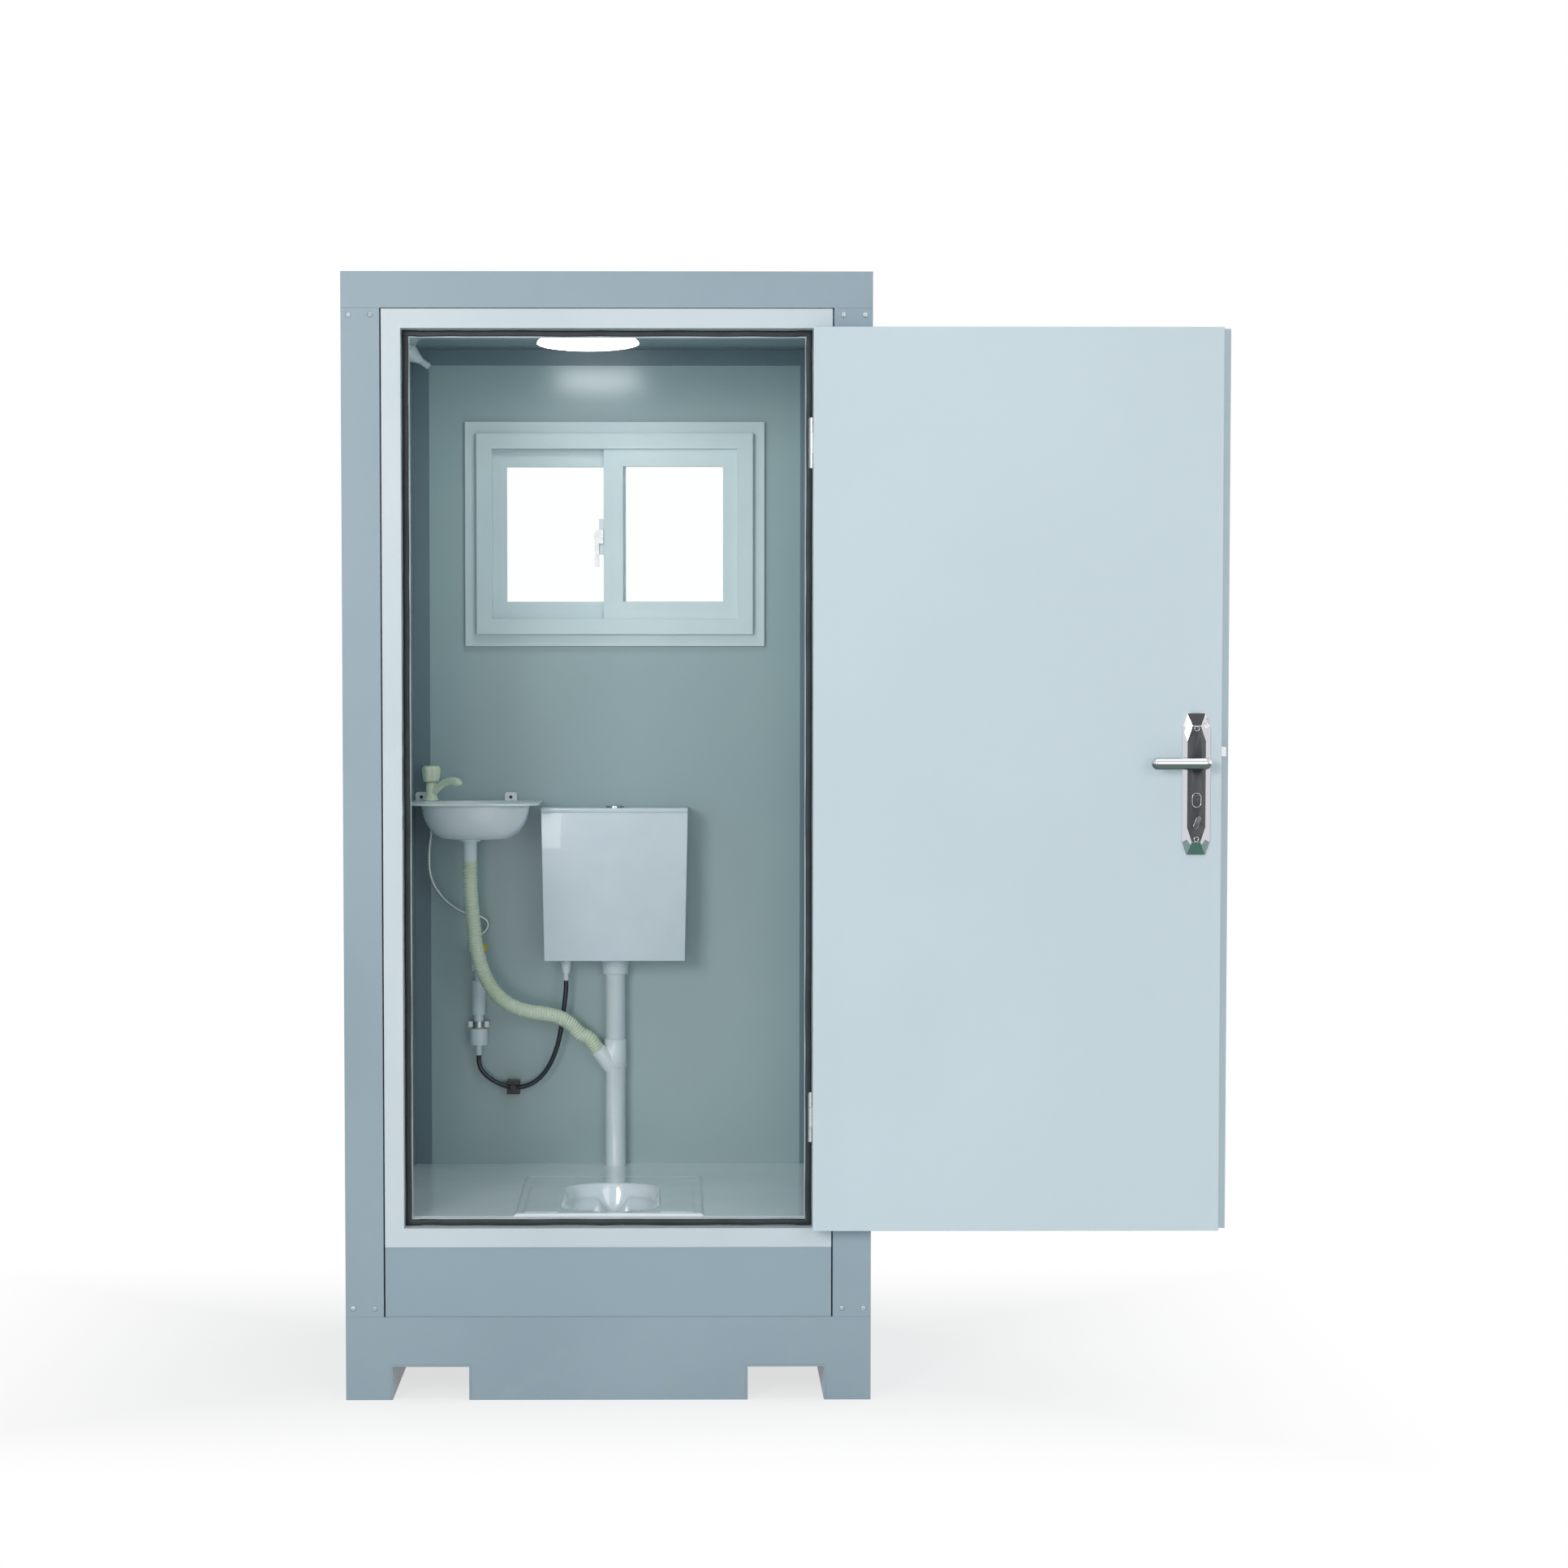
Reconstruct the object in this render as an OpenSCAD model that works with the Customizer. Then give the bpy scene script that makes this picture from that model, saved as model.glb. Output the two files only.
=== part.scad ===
// Toilet container: a steel framed one-person cabin with a squat toilet, cistern and wash basin.
// Origin at the middle of the footprint on the ground, +Z up, the door in the -Y face.
// The door is drawn folded right back beside the cabin, as the hinge stop holds it.

/* [Cabin] */
// Outside width of the cabin
cabin_w = 1100; // [1060:5:1400]
// Outside depth of the cabin
cabin_d = 1100; // [1060:5:1400]
// Outside height of the cabin
cabin_h = 2350; // [2330:5:2600]
// Side of the square corner posts
post_w = 80; // [76:1:90]
// Wall of the steel tubes and channels
steel_t = 4; // [3:0.5:6]
// Height of the base frame
base_h = 175; // [160:1:200]
// Height of the roof beams
roof_beam_h = 75; // [65:1:90]
// Thickness of the sandwich panels
panel_t = 50; // [40:1:60]
// Rain tray depth of the roof panel below the beams
roof_drop = 12; // [5:1:20]
// Side of the inner corner trims
trim_w = 40; // [20:1:50]
// Thickness of the inner corner trims
trim_t = 3; // [2:0.5:5]

/* [Fork pockets] */
// Clear width of a fork pocket
fork_w = 160; // [120:1:180]
// Clear height of a fork pocket
fork_h = 70; // [60:1:90]
// Distance from the middle to the centre of a pocket
fork_x = 372; // [330:1:372]

// Width of the cross member in the middle of the base
brace_w = 60; // [40:5:100]

/* [Floor] */
// Height of the finished floor above the ground
floor_z = 378; // [370:1:400]
// Thickness of the floor board
floor_t = 20; // [15:1:30]
// Width of a floor joist
joist_w = 40; // [30:1:60]

/* [Door frame] */
// Height of the infill panel under the door frame
sill_h = 147; // [135:1:160]
// Thickness of the infill panel
sill_t = 40; // [30:1:50]
// Depth of the door frame, front to back
frame_d = 70; // [66:1:72]
// Width of the front face of the door frame
frame_face = 40; // [38:0.5:46]
// Depth of the rebate that the leaf closes into
rebate_d = 50; // [46:1:54]
// Width of the stop that the gasket sits on
stop_w = 15; // [13:1:20]
// Width of the door gasket
gasket_w = 12; // [6:0.5:13]
// Thickness of the door gasket
gasket_t = 8; // [5:0.5:10]

/* [Door] */
// Width of the overlapping edge on the lock side
flange_w = 19; // [10:1:25]
// Thickness of the outer skin of the leaf
skin_t = 1.5; // [1:0.5:2]
// Gap between the leaf and the rebate
leaf_gap = 5; // [4:0.5:6]
// Diameter of a hinge barrel
barrel_d = 14; // [12:1:16]
// Diameter of a hinge pin
pin_d = 7; // [5:0.5:9]
// Length of a hinge
hinge_l = 102; // [80:1:120]
// Width of a hinge plate
hinge_w = 36; // [30:1:45]
// Height of the middle of the lower hinge
hinge_low = 596; // [500:1:700]
// Distance from the top of the cabin to the middle of the upper hinge
hinge_drop = 354; // [300:1:420]

/* [Lock] */
// Height of the lever axis
lever_z = 1336; // [1250:1:1400]
// Distance from the lock edge of the leaf to the lever axis
backset = 53; // [50:1:60]
// Width of a lock plate
plate_w = 58; // [50:1:64]
// Height of a lock plate
plate_h = 292; // [270:1:310]
// Thickness of a lock plate
plate_t = 10; // [8:1:14]
// Reach of a lever from its axis
lever_l = 97; // [80:1:110]
// Diameter of a lever bar
lever_d = 25; // [20:1:28]
// Side of the square spindle
spindle_w = 8; // [6:1:9]
// Throw of the latch bolt
latch_throw = 12; // [8:1:14]
// Throw of the dead bolt
bolt_throw = 15; // [10:1:18]

/* [Window] */
// Width of the window frame in the wall
win_w = 640; // [600:1:700]
// Height of the window frame in the wall
win_h = 464; // [430:1:520]
// Distance from the top of the cabin to the middle of the window
win_drop = 504; // [450:1:640]
// Width of the trim around the window
win_trim = 27; // [20:1:40]
// Visible width of the window frame
win_face = 36; // [30:1:45]
// Reach of the frame into the room
win_proud = 30; // [20:1:40]
// Width of the sash members
sash_w = 45; // [35:1:50]
// Thickness of a sash
sash_t = 24; // [20:1:26]
// Thickness of a pane
glass_t = 5; // [4:1:6]

/* [Lamp] */
// Diameter of the ceiling lamp
lamp_d = 222; // [180:1:260]
// Height of the lamp from ceiling to lowest point
lamp_h = 50; // [40:1:70]

/* [Basin] */
// Width of the basin rim
basin_w = 298; // [290:1:305]
// Reach of the basin rim from the wall
basin_d = 300; // [290:1:310]
// Height of the basin rim above the ground
basin_z = 1229; // [1220:1:1240]
// Depth of the bowl
bowl_h = 84; // [70:1:90]
// Thickness of the basin shell
basin_t = 5; // [4:0.5:6]
// Height of a fixing ear above the rim
ear_h = 19; // [12:1:24]
// Distance from the rim's left end to the first fixing ear
ear_inset = 16; // [14:1:20]
// Distance between the two fixing ears
ear_span = 208; // [200:1:212]
// Diameter of the basin tailpiece
tail_d = 31; // [28:1:34]
// Diameter of the drain hose over its ribs
drain_d = 34; // [30:1:36]
// Diameter of the braided supply hose
supply_d = 9; // [8:0.5:10]

/* [Tap] */
// Height of the tap body above the rim
tap_h = 44; // [38:1:60]
// Diameter of the tap body
tap_d = 25; // [22:1:30]
// Diameter of the spout
spout_d = 18; // [14:1:19]
// Diameter of the knob
knob_d = 43; // [36:1:46]
// Height of the knob
knob_h = 37; // [30:1:45]
// Diameter of the threaded shank under the basin
tap_shank_d = 20; // [16:1:22]

/* [Supply] */
// Diameter of the riser on the rear wall
riser_d = 22; // [18:1:24]
// Diameter of the water spigot behind the rear wall
inlet_d = 21; // [20:1:24]
// Diameter of the water pipe through the rear wall
inlet_pipe_d = 19; // [14:1:19]
// Diameter of the stop valve's body
valve_d = 36; // [30:1:38]
// Length of the stop valve's handle
handle_l = 42; // [34:1:50]

/* [Cistern] */
// Width of the cistern at its lid
cistern_w = 338; // [320:1:340]
// Width of the cistern at its bottom
cistern_low_w = 324; // [310:1:334]
// Height of the cistern
cistern_h = 352; // [340:1:360]
// Depth of the cistern, front to back
cistern_d = 130; // [124:1:140]
// Height of the cistern bottom above the ground
cistern_z = 862; // [850:1:875]
// Wall of the cistern
cistern_t = 4; // [3:0.5:5]
// Diameter of the flush pipe
flush_d = 47; // [44:1:50]
// Diameter of the cistern hose
hose_d = 11; // [10:0.5:12]
// Drop from the cistern bottom to the drain tee
tee_drop = 188; // [180:1:196]

/* [Squat pan] */
// Width of the squat pan
pan_w = 402; // [390:1:420]
// Length of the squat pan
pan_l = 662; // [640:1:670]
// Rise of the pan rim above the floor
pan_rise = 6; // [4:1:10]
// Half width of the bowl opening
bowl_r = 104; // [95:1:110]
// Length of the bowl opening, front to back
bowl_l = 500; // [490:1:510]
// Depth of the bowl below the rim
pan_deep = 85; // [80:1:87]
// Diameter of the waste spigot behind the rear wall
waste_d = 110; // [108:1:110]
// Diameter of the waste pipe through the rear wall
waste_pipe_d = 106; // [96:1:106]

/* [Hidden] */

// Facets of round shapes
fine = 48;
// Clearance of a running fit on the radius
run_fit = 0.05;
// Clearance between pieces that move past each other
slip = 0.5;
// Overlap of a cutting tool past the face that it cuts
past = 1;

half_w = cabin_w / 2;
half_d = cabin_d / 2;
beam_z = cabin_h - roof_beam_h;
in_x = half_w - post_w;
in_y = half_d - post_w;
board_z = floor_z - floor_t;

// Colours, as the photograph shows them
frame_grey = [0.62, 0.70, 0.74];
panel_grey = [0.78, 0.83, 0.85];
door_white = [0.80, 0.85, 0.88];
trim_white = [0.82, 0.88, 0.91];
rubber_black = [0.10, 0.13, 0.15];
steel_bright = [0.75, 0.76, 0.78];
plastic_white = [0.86, 0.89, 0.92];
tap_cream = [0.86, 0.90, 0.76];
hose_green = [0.72, 0.80, 0.66];
valve_yellow = [0.80, 0.68, 0.10];
glass_tint = [0.70, 0.80, 0.82, 0.4];
floor_grey = [0.60, 0.66, 0.68];
ceramic_white = [0.88, 0.90, 0.91];

// Rest of the cabin frame
ledge = 30;
frame_gap = 3;
sill_top = base_h + sill_h;
sill_y = -half_d + 2;
roof_top = cabin_h - roof_drop;

// Door frame, rebate and clear opening
fx = in_x - frame_gap;
frame_top = beam_z - frame_gap / 2;
rebate_x = fx - frame_face;
rebate_low = sill_top + frame_face;
rebate_high = frame_top - frame_face;
clear_x = rebate_x - stop_w;
frame_back = -half_d + frame_d;
stop_y = -half_d + rebate_d;
gasket_out = 1;

// Leaf, drawn closed and then turned about the hinge axis to where it stands open
skin_gap = 1;
leaf_x = rebate_x - leaf_gap;
leaf_low = rebate_low + 2;
leaf_high = rebate_high - 2;
skin_y = -half_d - skin_gap - skin_t;
core_y = -half_d - skin_gap;
seal_gap = 1;
leaf_in = stop_y - gasket_t - seal_gap;
hinge_x = leaf_x + 2;
plate_thin = 2.5;
hinge_y = skin_y - 1 - barrel_d / 2;
knuckle = [0.285, 0.715];
hinge_zs = [hinge_low, cabin_h - hinge_drop];

// Lock
lock_x = -leaf_x + backset;
lock_y = (core_y + leaf_in) / 2;
plate_z = lever_z - 43;
cut_x = 10;
cut_z = 30;
plate_rim = 10;
plate_rim_z = 26;
latch_z = lever_z + 24;
cylinder_z = lever_z - 75;
turn_z = lever_z - 122;
bolt_z = lever_z - 98;
latch_w = 14;
latch_h = 20;
bolt_w = 12;
bolt_h = 26;
bolt_back = 45;
case_l = 80;
case_w = 18;
case_low = lever_z - 150;
case_high = lever_z + 60;
forend_t = 3;
forend_w = 22;
forend_over = 12;
lever_reach = 47;
hub_d = 20;
turn_d = 8;
screw_zs = [plate_z - 114, plate_z + 114];
pocket_l = 22;
strike_t = 1.5;
strike_w = 26;
strike_low = bolt_z - 40;
strike_high = latch_z + 40;

// Window
win_z = cabin_h - win_drop;
win_in_x = win_w / 2 - win_face;
win_in_z = win_h / 2 - win_face;
track_in = 12;
track_up = 5;
win_front = in_y - win_proud;
near_y = win_front + 12;
far_y = near_y + sash_t + 4;
meet_x = sash_w / 2 + 3;
glass_in = 8;
wall_out = in_y + panel_t;

// Lamp
lamp_x = -49;
lamp_y = -100;
lamp_base_h = 22;
lamp_rim = 7;
lamp_t = 3;

// Basin, from its place in the rear left corner
basin_x0 = -in_x + trim_t;
basin_back = in_y - trim_t;
basin_front = basin_back - basin_d;
bowl_x = basin_x0 + 150;
bowl_y = basin_front + 133;
bowl_top_r = 121;
bowl_flat_r = 62;
rim_t = 7;
drain_x = -330;
drain_y = bowl_y;
bowl_low = basin_z - bowl_h;
tail_low = bowl_low - 53;
waste_nut_h = 6;
ear_w = 28;
ear_t = 5;
ear_xs = [basin_x0 + ear_inset, basin_x0 + ear_inset + ear_span];
ear_hole_d = 5;
ear_hole_z = basin_z + 7.5;

// Tap, from its shank up to its stem, with the two points that its spout bends through
tap_x = basin_x0 + 43;
tap_y = basin_back - 67;
tap_shank_z = basin_z - 49;
tap_top = basin_z + tap_h;
tap_foot_h = 9;
tap_foot_d = 36;
tap_nut_h = 10;
tap_nut_d = 30;
stem_d = 8;
stem_l = 20;
spout_z = basin_z + 18;
spout_elbow = [tap_x + 34, tap_y - 24, tap_top + 2];
spout_tip = [tap_x + 66, tap_y - 47, tap_top + 4];
nozzle_l = 15;
nozzle_d = 16;
crown_h = 7;
flute_r = 7;
flute_in = 2.5;

// Pipes on the rear wall under the basin
riser_x = -318;
pipe_y = in_y - 34;
valve_z = 834;
valve_h = 38;
valve_top = valve_z + 70;
spindle_z = valve_z + 54;
spindle_out = 24;
bonnet_out = 16;
handle_t = 5;
handle_hub_t = 7.5;
riser_low = 636;
coupling_z = riser_low + 24;
coupling_h = 38;
inlet_z = coupling_z + 19;
cone_z = valve_z - 104;
cone_h = 80;
clamp_low = coupling_z + 41;
clamp_h = 14;
spigot_end = half_d - 5;
spigot_gap = 1;
clip_x = -238;
clip_z = 561;
clip_half = 16;

// Cistern and flush pipe
lid_h = 10;
tank_h = cistern_h - lid_h;
lid_z = cistern_z + tank_h;
seat_gap = 0.3;
cistern_y = in_y - cistern_d;
flush_y = pipe_y;
fill_x = -114;
fill_y = in_y - 58;
fill_low = cistern_z - 50;
fill_nut_z = cistern_z - 34;
fill_head_z = lid_z - 70;
fill_d = 20;
float_top = lid_z - 78;
float_h = 62;
button_d = 44;
button_y = flush_y - 32;
button_up = 4;
outlet_d = 50;
outlet_h = 60;
outlet_seat = 12;
plunger_top = lid_z - 60;
flush_nut_h = 22;
flush_nut_z = cistern_z - 14 - flush_nut_h;
tee_top = cistern_z - tee_drop;
tee_low = tee_top - 65;
branch_z = tee_low - 14;
pipe_wall = 3;
branch_end = 75;
branch_turn = 30;
branch_rise = 50;
elbow_z = board_z - flush_d / 2 - 4;

// Squat pan
pan_top = floor_z + pan_rise;
pan_front = frame_back + 4;
pan_back = pan_front + pan_l;
pan_t = 6;
tray_deep = 30;
bowl_front_y = pan_front + 36;
bowl_back_y = bowl_front_y + bowl_l;
well_r = 48;
well_y = bowl_front_y + bowl_r;
channel_r = 30;
channel_z = pan_top - 32;
inlet_hole_z = channel_z - channel_r + 2;
inlet_hole_r = 5;
horn_l = 4;
tread_w = 82;
tread_l = 440;
tread_h = 2.5;
waste_z = 235;
waste_t = 4;

// Routes of the three free hoses, chosen by hand from end to end
branch_dir = [-cos(branch_rise) * cos(branch_turn), -cos(branch_rise) * sin(branch_turn), sin(branch_rise)];
branch_tip = [0, flush_y, branch_z] + branch_end * branch_dir;
drain_route = [[drain_x, drain_y, tail_low], [drain_x, drain_y, 1058], [-329, 300, 1024], [-326, 301, 985],
    [-322, 303, 945], [-318, 305, 905], [-310, 309, 866], [-298, 315, 830], [-280, 322, 798], [-256, 330, 772],
    [-226, 340, 754], [-194, 350, 744], [-160, 362, 738], [-128, 374, 729], [-102, 386, 712], [-82, 395, 690],
    branch_tip + drain_d * branch_dir, branch_tip];
supply_route = [[tap_x, tap_y, tap_shank_z], [tap_x, tap_y, 1168], [-426, 400, 1146], [-429, 400, 1120],
    [-430, 402, 1093], [-428, 406, 1062], [-418, 411, 1032], [-400, 417, 1006], [-378, 422, 985],
    [-352, 427, 970], [-330, 431, 963], [-312, 434, 959], [-299, 436, 950], [-296, 436, 938],
    [-302, 436, 926], [-311, 436, 918], [-317, 436, 912], [riser_x, pipe_y, valve_top]];
cistern_route = [[riser_x, pipe_y, riser_low], [riser_x, pipe_y, 620], [-313, 436, 604], [-302, 436, 590],
    [-285, 436, 577], [-262, 436, 566], [clip_x, 436, 561], [-212, 434, 563], [-188, 431, 574], [-168, 428, 592],
    [-152, 424, 616], [-139, 420, 646], [-130, 417, 678], [-124, 414, 712], [-119, 412, 748],
    [-115, 412, 782], [fill_x, fill_y, 798], [fill_x, fill_y, fill_low]];

// Box from its low corner to its high corner
module box(low, high) {
    translate(low) cube(high - low);
}

// Upright rod
module rod(x, y, low, high, r) {
    translate([x, y, low]) cylinder(h = high - low, r = r, $fn = fine);
}

// Rod along Y
module rod_y(x, z, low, high, r) {
    translate([x, low, z]) rotate([-90, 0, 0]) cylinder(h = high - low, r = r, $fn = fine);
}

// Rod between two points, with a round end where it meets the next
module strut(from, to, r) {
    d = to - from;
    translate(from) rotate([0, acos(d[2] / norm(d)), atan2(d[1], d[0])]) cylinder(h = norm(d), r = r, $fn = fine);
}

// Plate lying in XZ, from the low Y face to the high one, around a flat outline in X and Z
module plate_y(low, high) {
    translate([0, high, 0]) rotate([90, 0, 0]) linear_extrude(height = high - low) children();
}

// Moves pieces that are drawn on the closed door to where it stands open
module opened() {
    translate([hinge_x, hinge_y, 0]) rotate([0, 0, 180]) translate([-hinge_x, -hinge_y, 0]) children();
}

// Both ways in X
module both() {
    children();
    mirror([1, 0, 0]) children();
}

// Curve through the points of a route, at step t of the stretch after point i
function before(p, i) = i > 0 ? p[i - 1] : 2 * p[0] - p[1];
function after(p, i) = i + 2 < len(p) ? p[i + 2] : 2 * p[len(p) - 1] - p[len(p) - 2];
function curve(p, i, t) = 0.5 * (2 * p[i] + (p[i + 1] - before(p, i)) * t
    + (2 * before(p, i) - 5 * p[i] + 4 * p[i + 1] - after(p, i)) * t * t
    + (3 * p[i] - before(p, i) - 3 * p[i + 1] + after(p, i)) * t * t * t);
function steps(p, i, pitch) = max(1, round(norm(p[i + 1] - p[i]) / pitch));
function fine_route(p, pitch) = concat([for (i = [0 : len(p) - 2]) for (j = [0 : steps(p, i, pitch) - 1])
    curve(p, i, j / steps(p, i, pitch))], [p[len(p) - 1]]);

// Ring of points around one point of a route
function along(p, i) = let (d = p[min(i + 1, len(p) - 1)] - p[max(i - 1, 0)]) d / norm(d);
function ring(p, i, r, sides) = let (t = along(p, i), c = cross(t, [0, 1, 0]), u = c / norm(c), v = cross(u, t))
    [for (k = [0 : sides - 1]) p[i] + r * (cos(360 * k / sides) * u + sin(360 * k / sides) * v)];
function quads(rings, sides, closed) = [for (i = [0 : rings - (closed ? 1 : 2)]) for (k = [0 : sides - 1])
    let (a = i * sides, b = ((i + 1) % rings) * sides, n = (k + 1) % sides) [a + k, b + k, b + n, a + n]];

// Plain hose along a route
module hose(p, r, sides = 10) {
    ends = [[for (k = [0 : sides - 1]) k], [for (k = [sides - 1 : -1 : 0]) (len(p) - 1) * sides + k]];
    polyhedron(points = [for (i = [0 : len(p) - 1]) for (q = ring(p, i, r, sides)) q],
        faces = concat(quads(len(p), sides, false), ends), convexity = 6);
}

// Ribbed hose with its bore, two rings to a rib
module ribbed_hose(p, r, bore_r, rib_h, pitch, sides = 8) {
    crests = fine_route(p, pitch / 2);
    bore = fine_route(p, r);
    last = len(crests) - 1;
    outside = [for (i = [0 : last]) for (q = ring(crests, i, r - (i % 2 == 1 ? rib_h : 0), sides)) q];
    inside = [for (i = [len(bore) - 1 : -1 : 0]) for (q = ring(bore, i, bore_r, sides)) q];
    polyhedron(points = concat(outside, inside), faces = quads(len(crests) + len(bore), sides, true),
        convexity = 10);
}

// Cross member in the middle of the base, over and between the fork channels, drawn in by g
module cross_member(g, over) {
    x = fork_x - fork_w / 2 - steel_t - g;
    box([-in_x + ledge - over, -brace_w / 2 + g, fork_h + steel_t + g], [in_x - ledge + over, brace_w / 2 - g, base_h - g]);
    box([-x, -brace_w / 2 + g, g], [x, brace_w / 2 - g, base_h - g]);
}

// Space of the two fork pockets, grown by g
module fork_space(g) {
    both() box([fork_x - fork_w / 2 - g, -half_d - past, -past], [fork_x + fork_w / 2 + g, half_d + past, fork_h + g]);
}

module base_frame() {
    x = in_x - ledge;
    y = in_y - ledge;
    color(frame_grey) difference() {
        cross_member(0, 0);
        cross_member(steel_t, -steel_t);
    }
    color(frame_grey) difference() {
        box([-half_w, -half_d, 0], [half_w, half_d, base_h]);
        box([-x, -y, -past], [x, y, base_h + past]);
        difference() {
            box([-half_w + steel_t, -half_d + steel_t, steel_t], [half_w - steel_t, half_d - steel_t, base_h - steel_t]);
            box([-x - steel_t, -y - steel_t, -past], [x + steel_t, y + steel_t, base_h + past]);
            fork_space(2 * steel_t);
        }
        fork_space(steel_t);
    }
}

module fork_channels() {
    color(frame_grey) both() difference() {
        box([fork_x - fork_w / 2 - steel_t, -half_d, 0], [fork_x + fork_w / 2 + steel_t, half_d, fork_h + steel_t]);
        box([fork_x - fork_w / 2, -half_d - past, -past], [fork_x + fork_w / 2, half_d + past, fork_h]);
    }
}

module floor_frame() {
    color(frame_grey) both() for (x = [in_x - joist_w, pan_w / 2 - joist_w]) difference() {
        box([x, -in_y, base_h], [x + joist_w, in_y, board_z]);
        box([x + steel_t, -in_y - past, base_h + steel_t], [x + joist_w - steel_t, in_y + past, board_z - steel_t]);
    }
}

// Outline of the opening of the squat pan's bowl, grown by g
module bowl_outline(g) {
    translate([0, bowl_front_y + bowl_r]) circle(r = bowl_r + g, $fn = fine);
    translate([0, bowl_back_y - bowl_r]) circle(r = bowl_r + g, $fn = fine);
    translate([-bowl_r - g, bowl_front_y + bowl_r]) square([2 * (bowl_r + g), bowl_back_y - bowl_front_y - 2 * bowl_r]);
}

module floor_board() {
    color(floor_grey) difference() {
        box([-in_x, frame_back, board_z], [in_x, in_y, floor_z]);
        translate([0, 0, board_z - past]) linear_extrude(height = floor_t + 2 * past) bowl_outline(pan_t + 2);
        rod_y(0, channel_z, well_y, bowl_back_y + pan_t + 2, channel_r + pan_t + slip);
        rod(0, flush_y, board_z - past, floor_z + past, flush_d / 2 + slip);
    }
}

module infill_panel() {
    color(frame_grey) box([-fx, sill_y, base_h], [fx, sill_y + sill_t, sill_top]);
}

// Places of the screws in the corner posts
screw_d = 12;
screw_h = 2.5;
screw_shank = 5;
screw_l = 14;
post_screws = [for (x = [in_x + 19.5, in_x + 64.5]) for (z = [base_h + 18, beam_z - 14]) [x, z]];

module corner_posts() {
    color(frame_grey) difference() {
        for (x = [-half_w, in_x]) for (y = [-half_d, in_y]) difference() {
            box([x, y, base_h], [x + post_w, y + post_w, beam_z]);
            box([x + steel_t, y + steel_t, base_h - past], [x + post_w - steel_t, y + post_w - steel_t, beam_z + past]);
        }
        both() for (s = post_screws) rod_y(s[0], s[1], -half_d - past, -half_d + screw_l, screw_shank / 2 + run_fit);
    }
}

module roof_beams() {
    color(frame_grey) {
        for (y = [-half_d, in_y]) difference() {
            box([-half_w, y, beam_z], [half_w, y + post_w, cabin_h]);
            box([-half_w + steel_t, y + steel_t, beam_z + steel_t], [half_w - steel_t, y + post_w - steel_t, cabin_h - steel_t]);
        }
        for (x = [-half_w, in_x]) difference() {
            box([x, -in_y, beam_z], [x + post_w, in_y, cabin_h]);
            box([x + steel_t, -in_y - past, beam_z + steel_t], [x + post_w - steel_t, in_y + past, cabin_h - steel_t]);
        }
    }
}

module roof_panel() {
    color(panel_grey) box([-in_x, -in_y, beam_z], [in_x, in_y, roof_top]);
}

module wall_left() {
    color(panel_grey) box([-in_x - panel_t, -in_y, base_h], [-in_x, in_y, beam_z]);
}

module wall_right() {
    color(panel_grey) box([in_x, -in_y, base_h], [in_x + panel_t, in_y, beam_z]);
}

module wall_rear() {
    color(panel_grey) difference() {
        box([-in_x, in_y, base_h], [in_x, wall_out, beam_z]);
        box([-win_w / 2, in_y - past, win_z - win_h / 2], [win_w / 2, wall_out + past, win_z + win_h / 2]);
        rod_y(riser_x, inlet_z, in_y - past, wall_out + past, inlet_pipe_d / 2 + run_fit);
        rod_y(0, waste_z, in_y - past, wall_out + past, waste_pipe_d / 2 + run_fit);
    }
}

module corner_trims() {
    color(trim_white) {
        both() union() {
            box([in_x - trim_w, in_y - trim_t, floor_z], [in_x, in_y, beam_z]);
            box([in_x - trim_t, in_y - trim_w, floor_z], [in_x, in_y, beam_z]);
        }
        box([-in_x + trim_w, in_y - trim_t, beam_z - trim_w], [in_x - trim_w, in_y, beam_z]);
        box([-in_x + trim_w, in_y - trim_w, beam_z - trim_t], [in_x - trim_w, in_y - trim_t, beam_z]);
    }
}

module frame_screws() {
    color(steel_bright) both() for (s = post_screws) union() {
        rod_y(s[0], s[1], -half_d - screw_h, -half_d, screw_d / 2);
        rod_y(s[0], s[1], -half_d - past, -half_d + screw_l, screw_shank / 2);
    }
}

// Frame around a doorway, given by its outside, its hole and its two Y faces
module door_ring(x, low, high, w, front, back) {
    difference() {
        box([-x, front, low], [x, back, high]);
        box([-x + w, front - past, low + w], [x - w, back + past, high - w]);
    }
}

module door_frame() {
    color(trim_white) difference() {
        union() {
            door_ring(fx, sill_top, frame_top, frame_face, -half_d, stop_y);
            door_ring(fx, sill_top, frame_top, frame_face + stop_w, stop_y, frame_back);
        }
        box([-rebate_x - strike_t, lock_y - strike_w / 2, strike_low], [-rebate_x + past, lock_y + strike_w / 2, strike_high]);
        box([-rebate_x - pocket_l, lock_y - latch_w / 2 - 3, latch_z - latch_h / 2 - 3],
            [-rebate_x + past, lock_y + latch_w / 2 + 3, latch_z + latch_h / 2 + 3]);
        box([-rebate_x - pocket_l, lock_y - bolt_w / 2 - 3, bolt_z - bolt_h / 2 - 3],
            [-rebate_x + past, lock_y + bolt_w / 2 + 3, bolt_z + bolt_h / 2 + 3]);
    }
}

module door_gasket() {
    g = gasket_out;
    color(rubber_black) door_ring(rebate_x - g, rebate_low + g, rebate_high - g, gasket_w, stop_y - gasket_t, stop_y);
}

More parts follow.
